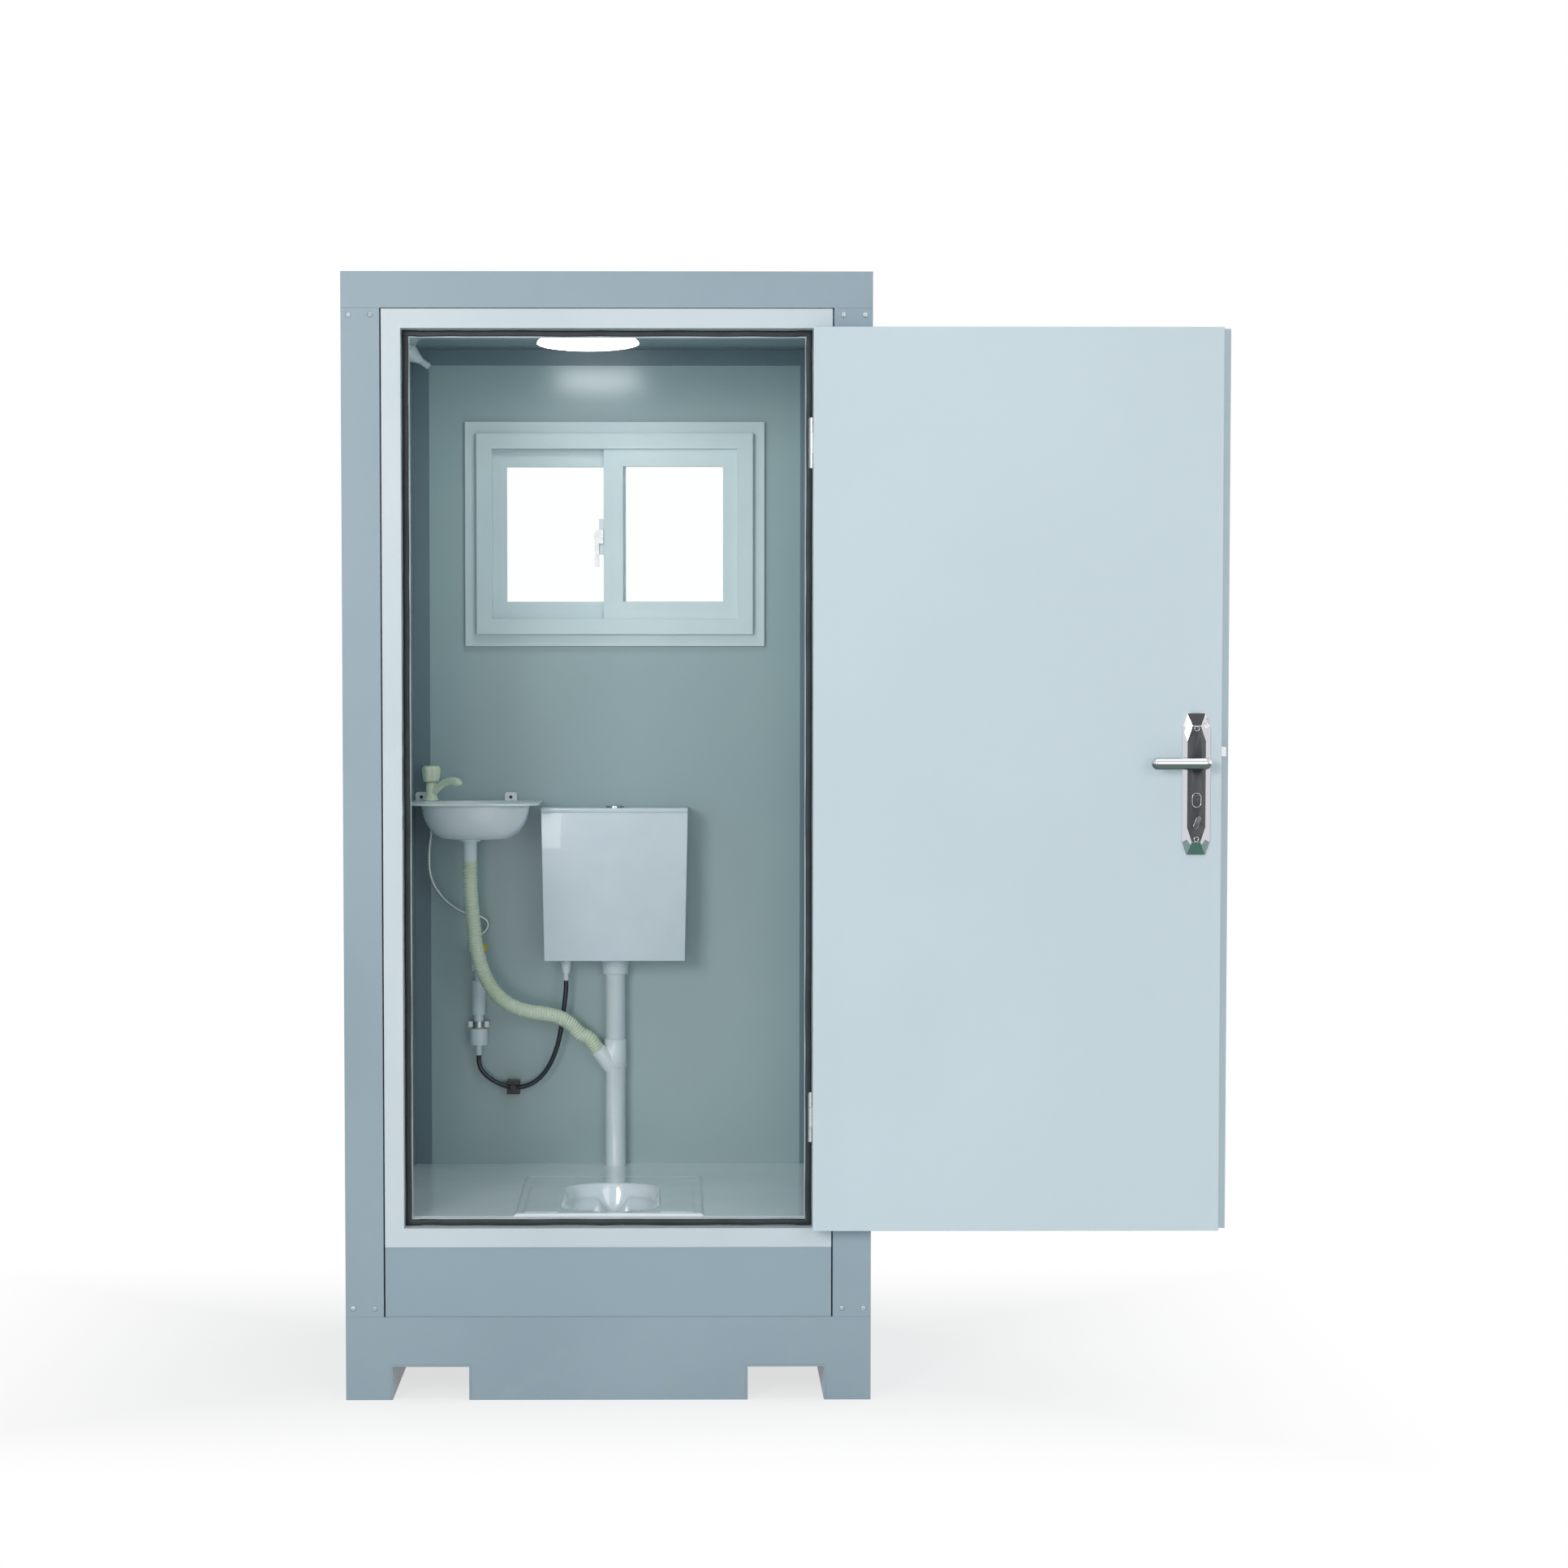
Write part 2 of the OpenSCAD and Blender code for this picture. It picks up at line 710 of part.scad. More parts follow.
module strike_plate() {
    color(steel_bright) difference() {
        box([-rebate_x - strike_t, lock_y - strike_w / 2, strike_low], [-rebate_x, lock_y + strike_w / 2, strike_high]);
        box([-rebate_x - pocket_l, lock_y - latch_w / 2 - 2, latch_z - latch_h / 2 - 2],
            [-rebate_x + past, lock_y + latch_w / 2 + 2, latch_z + latch_h / 2 + 2]);
        box([-rebate_x - pocket_l, lock_y - bolt_w / 2 - 2, bolt_z - bolt_h / 2 - 2],
            [-rebate_x + past, lock_y + bolt_w / 2 + 2, bolt_z + bolt_h / 2 + 2]);
    }
}

// Hinge half on the frame: plate, upper and lower knuckle and the pin that stays in them
module hinge_frame_halves() {
    color(steel_bright) for (z = hinge_zs) translate([0, 0, z - hinge_l / 2]) {
        difference() {
            union() {
                box([hinge_x + barrel_d / 2 + slip, -half_d - plate_thin, 0], [hinge_x + barrel_d / 2 + hinge_w, -half_d, hinge_l]);
                for (k = [[0, knuckle[0]], [knuckle[1], 1]]) {
                    rod(hinge_x, hinge_y, k[0] * hinge_l, k[1] * hinge_l, barrel_d / 2);
                    box([hinge_x, hinge_y, k[0] * hinge_l], [hinge_x + barrel_d / 2, -half_d, k[1] * hinge_l]);
                    box([hinge_x, -half_d - plate_thin, k[0] * hinge_l], [hinge_x + barrel_d, -half_d, k[1] * hinge_l]);
                }
            }
            rod(hinge_x, hinge_y, -past, hinge_l + past, pin_d / 2 + run_fit);
        }
        union() {
            rod(hinge_x, hinge_y, 0, hinge_l, pin_d / 2);
            rod(hinge_x, hinge_y, hinge_l, hinge_l + 2, barrel_d / 2 - 1);
        }
    }
}

module hinge_door_halves() {
    color(steel_bright) opened() for (z = hinge_zs) translate([0, 0, z - hinge_l / 2]) difference() {
        union() {
            box([hinge_x - barrel_d / 2 - hinge_w, skin_y - plate_thin, 0], [hinge_x - barrel_d / 2 - slip, skin_y, hinge_l]);
            rod(hinge_x, hinge_y, knuckle[0] * hinge_l + slip, knuckle[1] * hinge_l - slip, barrel_d / 2);
            box([hinge_x - barrel_d / 2, hinge_y, knuckle[0] * hinge_l + slip], [hinge_x, skin_y, knuckle[1] * hinge_l - slip]);
            box([hinge_x - barrel_d, skin_y - plate_thin, knuckle[0] * hinge_l + slip],
                [hinge_x, skin_y, knuckle[1] * hinge_l - slip]);
        }
        rod(hinge_x, hinge_y, -past, hinge_l + past, pin_d / 2 + run_fit);
    }
}

module door_leaf() {
    color(door_white) opened() difference() {
        union() {
            box([-leaf_x, core_y, leaf_low], [leaf_x, leaf_in, leaf_high]);
            box([-leaf_x - flange_w, skin_y, leaf_low], [leaf_x, core_y, leaf_high]);
        }
        box([-leaf_x - past, lock_y - case_w / 2, case_low], [-leaf_x + case_l, lock_y + case_w / 2, case_high]);
        box([-leaf_x - past, lock_y - forend_w / 2, case_low - forend_over],
            [-leaf_x + forend_t, lock_y + forend_w / 2, case_high + forend_over]);
        rod_y(lock_x, lever_z, skin_y - past, leaf_in + past, hub_d / 2 + 1);
        rod_y(lock_x, turn_z, skin_y - past, leaf_in + past, turn_d / 2 + 1);
        rod_y(lock_x, cylinder_z, skin_y - past, leaf_in + past, 9);
    }
}

module lock_case() {
    color(steel_bright) opened() difference() {
        union() {
            box([-leaf_x + forend_t, lock_y - case_w / 2, case_low], [-leaf_x + case_l, lock_y + case_w / 2, case_high]);
            box([-leaf_x, lock_y - forend_w / 2, case_low - forend_over],
                [-leaf_x + forend_t, lock_y + forend_w / 2, case_high + forend_over]);
        }
        box([-leaf_x - past, lock_y - latch_w / 2 - slip, latch_z - latch_h / 2 - slip],
            [-leaf_x + bolt_back + latch_throw + 3, lock_y + latch_w / 2 + slip, latch_z + latch_h / 2 + slip]);
        box([-leaf_x - past, lock_y - bolt_w / 2 - slip, bolt_z - bolt_h / 2 - slip],
            [-leaf_x + bolt_back + 1, lock_y + bolt_w / 2 + slip, bolt_z + bolt_h / 2 + slip]);
        rod_y(lock_x, lever_z, skin_y, leaf_in, spindle_w * 0.75 + 1);
        rod_y(lock_x, turn_z, skin_y, leaf_in, turn_d / 2 + slip);
    }
}

// Outline of a lock plate with its cut corners, drawn in by g at the sides and gz at the ends
module plate_outline(g, gz) {
    w = plate_w / 2 - g;
    h = plate_h / 2 - gz;
    polygon([[-w, cut_z - h], [cut_x - w, -h], [w - cut_x, -h], [w, cut_z - h],
        [w, h - cut_z], [w - cut_x, h], [cut_x - w, h], [-w, h - cut_z]]);
}

// Lock plate with its bevelled rim, face up, with the keyhole boss and two screws
module lock_plate(keyed) {
    flat = plate_t * 0.4;
    difference() {
        union() {
            linear_extrude(height = flat) plate_outline(0, 0);
            hull() {
                translate([0, 0, flat]) linear_extrude(height = 0.1) plate_outline(0, 0);
                translate([0, 0, plate_t - 0.1]) linear_extrude(height = 0.1) plate_outline(plate_rim, plate_rim_z);
            }
            for (s = screw_zs) translate([0, s - plate_z, plate_t - 1]) cylinder(h = 2.5, r = 4.5, $fn = fine);
            if (keyed) translate([0, cylinder_z - plate_z, 0]) {
                for (d = [-7, 4]) translate([0, d, plate_t - 1]) cylinder(h = 4, r = 8, $fn = fine);
                translate([-8, -7, plate_t - 1]) cube([16, 11, 4]);
            }
        }
        translate([0, lever_z - plate_z, -past]) cylinder(h = plate_t + 2 * past, r = hub_d / 2 + slip, $fn = fine);
        translate([0, turn_z - plate_z, -past]) cylinder(h = plate_t + 2 * past, r = turn_d / 2 + slip, $fn = fine);
    }
}

module lock_plates() {
    color(steel_bright) opened() {
        translate([lock_x, leaf_in, plate_z]) rotate([-90, 0, 0]) mirror([0, 1, 0]) lock_plate(true);
        translate([lock_x, skin_y, plate_z]) rotate([90, 0, 0]) lock_plate(true);
    }
}

// Lever on one face of the leaf: hub, neck and bar with round ends, reaching away along Y by side
module lever(face, side) {
    bar_y = face + side * lever_reach;
    far_x = lock_x + lever_l - lever_d / 2;
    near_x = lock_x - 14;
    rod_y(lock_x, lever_z, min(face + side * 2, bar_y), max(face + side * 2, bar_y), hub_d / 2);
    strut([near_x, bar_y, lever_z], [far_x, bar_y, lever_z], lever_d / 2);
    translate([near_x, bar_y, lever_z]) sphere(r = lever_d / 2, $fn = fine);
    translate([far_x, bar_y, lever_z]) sphere(r = lever_d / 2, $fn = fine);
}

module lever_handles() {
    color(steel_bright) opened() union() {
        lever(leaf_in, 1);
        lever(skin_y, -1);
        translate([lock_x, 0, lever_z]) rotate([0, 45, 0])
            box([-spindle_w / 2, skin_y - 10, -spindle_w / 2], [spindle_w / 2, leaf_in + 10, spindle_w / 2]);
    }
}

module latch_bolt() {
    color(steel_bright) opened() difference() {
        box([-leaf_x - latch_throw, lock_y - latch_w / 2, latch_z - latch_h / 2],
            [-leaf_x + bolt_back, lock_y + latch_w / 2, latch_z + latch_h / 2]);
        translate([-leaf_x - latch_throw, lock_y + latch_w / 2, 0]) rotate([0, 0, 45])
            box([-latch_w, -latch_w / 2 + 2, latch_z - latch_h], [latch_w, latch_w, latch_z + latch_h]);
    }
}

module thumb_turn() {
    color(steel_bright) opened() union() {
        rod_y(lock_x, turn_z, skin_y - 2, leaf_in + plate_t + 4, turn_d / 2);
        translate([lock_x, 0, turn_z]) rotate([0, -22, 0]) {
            box([-5, leaf_in + plate_t + 1, -8], [5, leaf_in + plate_t + 16, 8]);
            for (d = [-8, 8]) rod_y(0, d, leaf_in + plate_t + 1, leaf_in + plate_t + 16, 5);
        }
    }
}

module dead_bolt() {
    color(steel_bright) opened()
        box([-leaf_x + slip, lock_y - bolt_w / 2, bolt_z - bolt_h / 2],
            [-leaf_x + bolt_back, lock_y + bolt_w / 2, bolt_z + bolt_h / 2]);
}

// Frame around the window, between two Y faces, given by its half sizes and its width
module window_ring(x, h, w, front, back) {
    difference() {
        box([-x, front, win_z - h], [x, back, win_z + h]);
        box([-x + w, front - past, win_z - h + w], [x - w, back + past, win_z + h - w]);
    }
}

module window_frame() {
    color(trim_white) difference() {
        union() {
            window_ring(win_w / 2, win_h / 2, win_face, win_front, wall_out + 6);
            window_ring(win_w / 2 + win_trim, win_h / 2 + win_trim, win_trim + 1, in_y - 12, in_y);
            window_ring(win_w / 2 + win_trim, win_h / 2 + win_trim, win_trim + 1, wall_out, wall_out + 6);
        }
        for (y = [near_y, far_y])
            box([-win_in_x - track_in - slip, y - slip, win_z - win_in_z - track_up - slip],
                [win_in_x + track_in + slip, y + sash_t + slip, win_z + win_in_z + track_up + slip]);
    }
}

// Sash between two X edges, with the groove that holds its pane
module sash(x0, x1, y) {
    h = win_in_z + track_up;
    difference() {
        box([x0, y, win_z - h], [x1, y + sash_t, win_z + h]);
        box([x0 + sash_w, y - past, win_z - h + sash_w], [x1 - sash_w, y + sash_t + past, win_z + h - sash_w]);
        pane(x0, x1, y);
    }
}

// Pane that fills the groove of a sash
module pane(x0, x1, y) {
    h = win_in_z + track_up - sash_w + glass_in;
    m = y + sash_t / 2;
    box([x0 + sash_w - glass_in, m - glass_t / 2, win_z - h], [x1 - sash_w + glass_in, m + glass_t / 2, win_z + h]);
}

module sash_left() {
    color(trim_white) sash(-win_in_x - track_in, meet_x, far_y);
}

module pane_left() {
    color(glass_tint) pane(-win_in_x - track_in, meet_x, far_y);
}

module sash_right() {
    color(trim_white) sash(-meet_x, win_in_x + track_in, near_y);
}

module pane_right() {
    color(glass_tint) pane(-meet_x, win_in_x + track_in, near_y);
}

// Crescent latch on the edge of the right sash
latch_base_w = 11;
latch_base_h = 82;
latch_low = win_z - 47;
latch_pivot_x = -meet_x - latch_base_w / 2;
latch_pivot_z = win_z - 6;
cam_r = 17;
cam_t = 6;
pivot_r = 3;

module window_latch_base() {
    color(plastic_white) difference() {
        box([-meet_x - latch_base_w, near_y, latch_low], [-meet_x, near_y + sash_t - 4, latch_low + latch_base_h]);
        rod_y(latch_pivot_x, latch_pivot_z, near_y - past, near_y + 12, pivot_r + run_fit);
    }
}

module window_latch_lever() {
    front = near_y - slip - cam_t;
    color(steel_bright) union() {
        rod_y(latch_pivot_x, latch_pivot_z, front, near_y + 10, pivot_r);
        difference() {
            rod_y(latch_pivot_x, latch_pivot_z, front, front + cam_t, cam_r);
            box([latch_pivot_x + 5, front - past, latch_pivot_z - cam_r], [latch_pivot_x + 2 * cam_r, front + cam_t + past, latch_pivot_z + cam_r]);
        }
        box([latch_pivot_x - 15, front, latch_pivot_z - 69], [latch_pivot_x - 5, front + cam_t, latch_pivot_z]);
    }
}

module lamp_base() {
    color(plastic_white) rod(lamp_x, lamp_y, beam_z - lamp_base_h, beam_z, lamp_d / 2 - 12);
}

// Half profile of the lamp's dome, g inside its outer face
function dome(g) = [for (a = [0 : 6 : 90])
    [(lamp_d / 2 - g) * cos(a), -lamp_base_h - lamp_rim - (lamp_h - lamp_base_h - lamp_rim - g) * sin(a)]];

module lamp_diffuser() {
    top = -lamp_base_h;
    color("white") translate([lamp_x, lamp_y, beam_z]) rotate_extrude($fn = fine)
        polygon(concat([[lamp_d / 2, top]], dome(0), [for (i = [15 : -1 : 0]) dome(lamp_t)[i]],
            [[lamp_d / 2 - lamp_t, top - lamp_t], [lamp_d / 2 - 20, top - lamp_t], [lamp_d / 2 - 20, top]]));
}

// Cable gland in the upper corner of the left wall, with an open stub
gland_y = 396;
gland_z = beam_z - 16;
gland_tilt = 36;

module cable_gland() {
    color(plastic_white) intersection() {
        translate([-in_x, gland_y, gland_z]) rotate([0, 90 + gland_tilt, 0]) difference() {
            union() {
                translate([0, 0, -20]) cylinder(h = 20, r = 22, $fn = fine);
                cylinder(h = 34, r1 = 22, r2 = 7, $fn = fine);
                cylinder(h = 56, r = 7.5, $fn = fine);
            }
            translate([0, 0, 30]) cylinder(h = 40, r = 5, $fn = fine);
        }
        box([-in_x, gland_y - 40, gland_z - 80], [0, gland_y + 30, beam_z]);
    }
}

// Light switch beside the door, on the right wall
switch_y = -330;
switch_z = 1500;
switch_s = 86;
switch_t = 9;
rocker_w = 34;
rocker_h = 56;
rocker_out = 6.5;
rocker_tilt = 3;
pivot_d = 3;
pivot_l = 3;
pivot_x = in_x - switch_t / 2;

module switch_plate() {
    color(plastic_white) difference() {
        box([in_x - switch_t, switch_y - switch_s / 2, switch_z - switch_s / 2], [in_x, switch_y + switch_s / 2, switch_z + switch_s / 2]);
        box([in_x - switch_t - past, switch_y - rocker_w / 2 - slip, switch_z - rocker_h / 2 - 2 * slip],
            [in_x - 2 * slip, switch_y + rocker_w / 2 + slip, switch_z + rocker_h / 2 + 2 * slip]);
        rod_y(pivot_x, switch_z, switch_y - rocker_w / 2 - pivot_l - slip, switch_y + rocker_w / 2 + pivot_l + slip,
            pivot_d / 2 + run_fit);
    }
}

// Rocker with the two pivots that it tilts on
module switch_rocker() {
    color("white") translate([pivot_x, switch_y, switch_z]) rotate([0, rocker_tilt, 0]) union() {
        box([-rocker_out, -rocker_w / 2, -rocker_h / 2], [pivot_d / 2, rocker_w / 2, rocker_h / 2]);
        rod_y(0, 0, -rocker_w / 2 - pivot_l, rocker_w / 2 + pivot_l, pivot_d / 2);
    }
}

// Flat outline of the basin rim
module rim_outline() {
    r = 70;
    x1 = basin_x0 + basin_w;
    translate([basin_x0, basin_front + r]) square([basin_w, basin_d - r]);
    translate([basin_x0 + r, basin_front]) square([basin_w - 2 * r, r + past]);
    translate([basin_x0 + r, basin_front + r]) circle(r = r, $fn = fine);
    translate([x1 - r, basin_front + r]) circle(r = r, $fn = fine);
}

// Half profile of the bowl, g inside its outer face
function bowl_side(g) = [for (a = [0 : 9 : 90])
    [bowl_flat_r + (bowl_top_r - bowl_flat_r - g) * cos(a), -(bowl_h - g) * sin(a)]];

module basin() {
    color(plastic_white) difference() {
        union() {
            translate([0, 0, basin_z - rim_t]) linear_extrude(height = rim_t) rim_outline();
            translate([bowl_x, bowl_y, basin_z]) rotate_extrude($fn = fine)
                polygon(concat([[0, 0]], bowl_side(0), [[0, -bowl_h]]));
            for (x = ear_xs) box([x - ear_w / 2, basin_back - ear_t, basin_z - 1], [x + ear_w / 2, basin_back, basin_z + ear_h]);
        }
        translate([bowl_x, bowl_y, basin_z]) rotate_extrude($fn = fine)
            polygon(concat([[0, past], [bowl_top_r - basin_t, past]], bowl_side(basin_t), [[0, -bowl_h + basin_t]]));
        rod(drain_x, drain_y, bowl_low - past, basin_z, 20);
        rod(tap_x, tap_y, basin_z - rim_t - past, basin_z + past, tap_shank_d / 2 + slip);
        for (x = ear_xs) rod_y(x, ear_hole_z, basin_back - ear_t - past, basin_back + past, ear_hole_d / 2);
    }
}

module basin_waste() {
    color(plastic_white) difference() {
        union() {
            rod(drain_x, drain_y, bowl_low + basin_t, bowl_low + basin_t + 2, 26);
            rod(drain_x, drain_y, bowl_low, bowl_low + basin_t + 1, 19.5);
            rod(drain_x, drain_y, bowl_low - waste_nut_h, bowl_low, 24);
            rod(drain_x, drain_y, tail_low, bowl_low, tail_d / 2);
        }
        rod(drain_x, drain_y, tail_low - past, bowl_low + basin_t + 3, tail_d / 2 - 3);
    }
}

module tap_body() {
    color(tap_cream) union() {
        translate([tap_x, tap_y, basin_z]) cylinder(h = tap_foot_h, r1 = tap_foot_d / 2, r2 = tap_d / 2 + slip, $fn = fine);
        rod(tap_x, tap_y, basin_z, tap_top, tap_d / 2);
        rod(tap_x, tap_y, tap_shank_z, basin_z, tap_shank_d / 2);
        rod(tap_x, tap_y, basin_z - rim_t - tap_nut_h, basin_z - rim_t, tap_nut_d / 2);
        rod(tap_x, tap_y, tap_top, tap_top + stem_l, stem_d / 2);
        strut([tap_x, tap_y, spout_z], spout_elbow, spout_d / 2);
        translate(spout_elbow) sphere(r = spout_d / 2 + 1, $fn = fine);
        strut(spout_elbow, spout_tip, spout_d / 2);
        translate(spout_tip) sphere(r = spout_d / 2 + 2, $fn = fine);
        translate(spout_tip - [0, 0, nozzle_l]) cylinder(h = nozzle_l, r = nozzle_d / 2, $fn = fine);
    }
}

// Fluted knob on the stem of the tap
module tap_knob() {
    skirt = knob_h - crown_h;
    color(tap_cream) translate([tap_x, tap_y, tap_top + slip]) difference() {
        union() {
            cylinder(h = skirt, r1 = knob_d / 2 - 3.5, r2 = knob_d / 2, $fn = fine);
            translate([0, 0, skirt]) cylinder(h = crown_h, r1 = knob_d / 2, r2 = knob_d / 2 - 4.5, $fn = fine);
        }
        translate([0, 0, -past]) cylinder(h = stem_l + 4, r = stem_d / 2 + run_fit, $fn = fine);
        for (a = [0 : 60 : 300]) rotate([0, 0, a]) translate([knob_d / 2 + flute_r - flute_in, 0, -past])
            cylinder(h = skirt, r = flute_r, $fn = fine);
    }
}

module drain_hose() {
    color(hose_green) ribbed_hose(drain_route, drain_d / 2, drain_d / 2 - 5, 2, 6.5);
}

module supply_hose() {
    color(steel_bright) hose(supply_route, supply_d / 2, 8);
}

module cistern_hose() {
    color(rubber_black) hose(cistern_route, hose_d / 2, 10);
}

module stop_valve() {
    color(plastic_white) union() {
        rod(riser_x, pipe_y, valve_z, valve_z + valve_h, valve_d / 2);
        rod(riser_x, pipe_y, valve_z + valve_h, valve_top, valve_d / 4);
        rod_y(riser_x, spindle_z, pipe_y - bonnet_out, pipe_y, 6);
        rod_y(riser_x, spindle_z, pipe_y - spindle_out, pipe_y - bonnet_out, 3);
    }
}

module valve_handle() {
    front = pipe_y - spindle_out;
    color(valve_yellow) difference() {
        union() {
            rod_y(riser_x, spindle_z, front, front + handle_hub_t, 9);
            box([riser_x - handle_l / 2, front, spindle_z - 8], [riser_x + handle_l / 2, front + handle_t, spindle_z + 8]);
        }
        rod_y(riser_x, spindle_z, front - past, front + handle_hub_t + past, 3 + run_fit);
    }
}

module riser_pipe() {
    color(plastic_white) difference() {
        union() {
            rod(riser_x, pipe_y, cone_z + cone_h, valve_z, valve_d / 4);
            translate([riser_x, pipe_y, cone_z]) cylinder(h = cone_h, r1 = 15, r2 = 17, $fn = fine);
            rod(riser_x, pipe_y, coupling_z, cone_z + 1, riser_d / 2);
            rod(riser_x, pipe_y, coupling_z, coupling_z + coupling_h, 20.5);
            rod(riser_x, pipe_y, riser_low, coupling_z, 7);
            rod_y(riser_x, inlet_z, pipe_y, spigot_end, inlet_pipe_d / 2);
            rod_y(riser_x, inlet_z, wall_out + spigot_gap, spigot_end, inlet_d / 2);
        }
        rod_y(riser_x, inlet_z, wall_out, spigot_end + past, inlet_pipe_d / 2 - pipe_wall);
    }
}

module pipe_clamp() {
    high = clamp_low + clamp_h;
    color(steel_bright) difference() {
        union() {
            rod(riser_x, pipe_y, clamp_low, high, riser_d / 2 + 3);
            box([riser_x - 24, pipe_y - 3, clamp_low], [riser_x + 24, pipe_y + 3, high]);
            box([riser_x - 5, pipe_y + riser_d / 2 - 1, clamp_low], [riser_x + 5, in_y, high]);
        }
        rod(riser_x, pipe_y, clamp_low - past, high + past, riser_d / 2);
    }
}

module hose_clip() {
    color(rubber_black) difference() {
        union() {
            box([clip_x - clip_half + 1, pipe_y - 8, clip_z - clip_half], [clip_x + clip_half - 1, in_y, clip_z + clip_half]);
            rod_y(clip_x, clip_z, pipe_y - 13, pipe_y - 8, 8);
        }
        translate([clip_x - clip_half - past, pipe_y, clip_z + 1]) rotate([0, 90, 0])
            cylinder(h = 2 * (clip_half + past), r = hose_d / 2 + 3, $fn = fine);
    }
}

// Front outline of the cistern between two heights, drawn in by g
function half_at(z) = cistern_low_w / 2 + (cistern_w - cistern_low_w) / 2 * (z - cistern_z) / cistern_h;
module tank_outline(low, high, g) {
    polygon([[-half_at(low) + g, low], [half_at(low) - g, low], [half_at(high) - g, high], [-half_at(high) + g, high]]);
}

module cistern_tank() {
    t = cistern_t;
    color(plastic_white) difference() {
        plate_y(cistern_y, in_y) tank_outline(cistern_z, lid_z, 0);
        plate_y(cistern_y + t, in_y - t) tank_outline(cistern_z + t, lid_z + past, t);
        rod(0, flush_y, cistern_z - past, cistern_z + t + past, outlet_d / 2);
        rod(fill_x, fill_y, cistern_z - past, cistern_z + t + past, fill_d / 2 - 1);
    }
}

module cistern_lid() {
    g = cistern_t + slip;
    color(plastic_white) difference() {
        union() {
            plate_y(cistern_y, in_y - slip) tank_outline(lid_z + seat_gap, cistern_z + cistern_h, 0);
            plate_y(cistern_y + g, in_y - g) tank_outline(lid_z - 5, lid_z + 1, g);
        }
        plate_y(cistern_y + g + 3, in_y - g - 3) tank_outline(lid_z - 6, lid_z + lid_h - 4, g + 3);
        rod(0, button_y, lid_z, lid_z + lid_h + past, button_d / 2 + slip);
    }
}

module flush_button() {
    color(steel_bright) union() {
        rod(0, button_y, lid_z + button_up, lid_z + lid_h + button_up, button_d / 2);
        rod(0, button_y, lid_z - lid_h, lid_z + button_up + 1, 5);
    }
}

module fill_valve() {
    nut_h = 8;
    head_h = 30;
    floor_in = cistern_z + cistern_t;
    color(plastic_white) union() {
        rod(fill_x, fill_y, fill_low, fill_nut_z, hose_d / 2 + slip);
        translate([fill_x, fill_y, fill_nut_z]) cylinder(h = cistern_z - fill_nut_z, r1 = 8, r2 = 14, $fn = fine);
        rod(fill_x, fill_y, cistern_z - past, floor_in, fill_d / 2 - 1.5);
        rod(fill_x, fill_y, floor_in, floor_in + nut_h, fill_d / 2 + 5);
        rod(fill_x, fill_y, floor_in, fill_head_z, fill_d / 2);
        rod(fill_x, fill_y, fill_head_z, fill_head_z + head_h, fill_d);
    }
}

module float_cup() {
    color("gray") difference() {
        rod(fill_x, fill_y, float_top - float_h, float_top, fill_d * 1.5);
        rod(fill_x, fill_y, float_top - float_h - past, float_top + past, fill_d / 2 + 0.8);
    }
}

module outlet_valve() {
    b = cistern_z + cistern_t;
    color(plastic_white) difference() {
        union() {
            rod(0, flush_y, b, b + outlet_seat / 2, outlet_d / 2 + 3);
            rod(0, flush_y, cistern_z, b + past, outlet_d / 2 - slip);
            rod(0, flush_y, b + outlet_seat / 2 - past, b + outlet_h, outlet_d / 2 + 1);
        }
        rod(0, flush_y, cistern_z - past, b + outlet_seat + past, 17);
        rod(0, flush_y, b + outlet_seat, b + outlet_h + past, outlet_d / 2 - 2);
        for (a = [0, 90]) translate([0, flush_y, b + outlet_seat + 2]) rotate([0, 0, a]) translate([-outlet_d, -9, 0])
            cube([2 * outlet_d, 18, 26]);
    }
}

module valve_plunger() {
    b = cistern_z + cistern_t + outlet_seat + slip;
    color("lightgray") union() {
        rod(0, flush_y, b, b + 4.5, 20);
        rod(0, flush_y, b, plunger_top, 8);
    }
}

module flush_pipe() {
    color(plastic_white) difference() {
        union() {
            rod(0, flush_y, tee_top, cistern_z, flush_d / 2);
            rod(0, flush_y, flush_nut_z, flush_nut_z + flush_nut_h, 30);
            rod(0, flush_y, flush_nut_z + flush_nut_h, cistern_z, 32);
        }
        rod(0, flush_y, tee_top - past, cistern_z + past, flush_d / 2 - pipe_wall);
    }
}

module drain_tee() {
    r = flush_d / 2;
    inlet_y = bowl_back_y + pan_t + horn_l;
    color(plastic_white) difference() {
        union() {
            rod(0, flush_y, elbow_z, tee_top, r);
            rod(0, flush_y, tee_low, tee_top, r + 2);
            strut([0, flush_y, branch_z], branch_tip, drain_d / 2 + 1);
            translate([0, flush_y, elbow_z]) sphere(r = r, $fn = fine);
            rod_y(0, elbow_z, inlet_y, flush_y, r);
        }
        rod(0, flush_y, elbow_z, tee_top + past, r - pipe_wall);
        strut([0, flush_y, branch_z], branch_tip + branch_dir * past, drain_d / 2 - pipe_wall);
        rod_y(0, elbow_z, inlet_y - past, flush_y, r - pipe_wall);
    }
}

// Space of the pan's bowl, grown outwards by g: tray, channel and well
module bowl_space(g, top) {
    translate([0, 0, pan_top - tray_deep - g]) linear_extrude(height = tray_deep + g + top) bowl_outline(g);
    rod_y(0, channel_z, well_y, bowl_back_y + g, channel_r + g);
    rod(0, well_y, pan_top - pan_deep - g, pan_top + top, well_r + g);
}

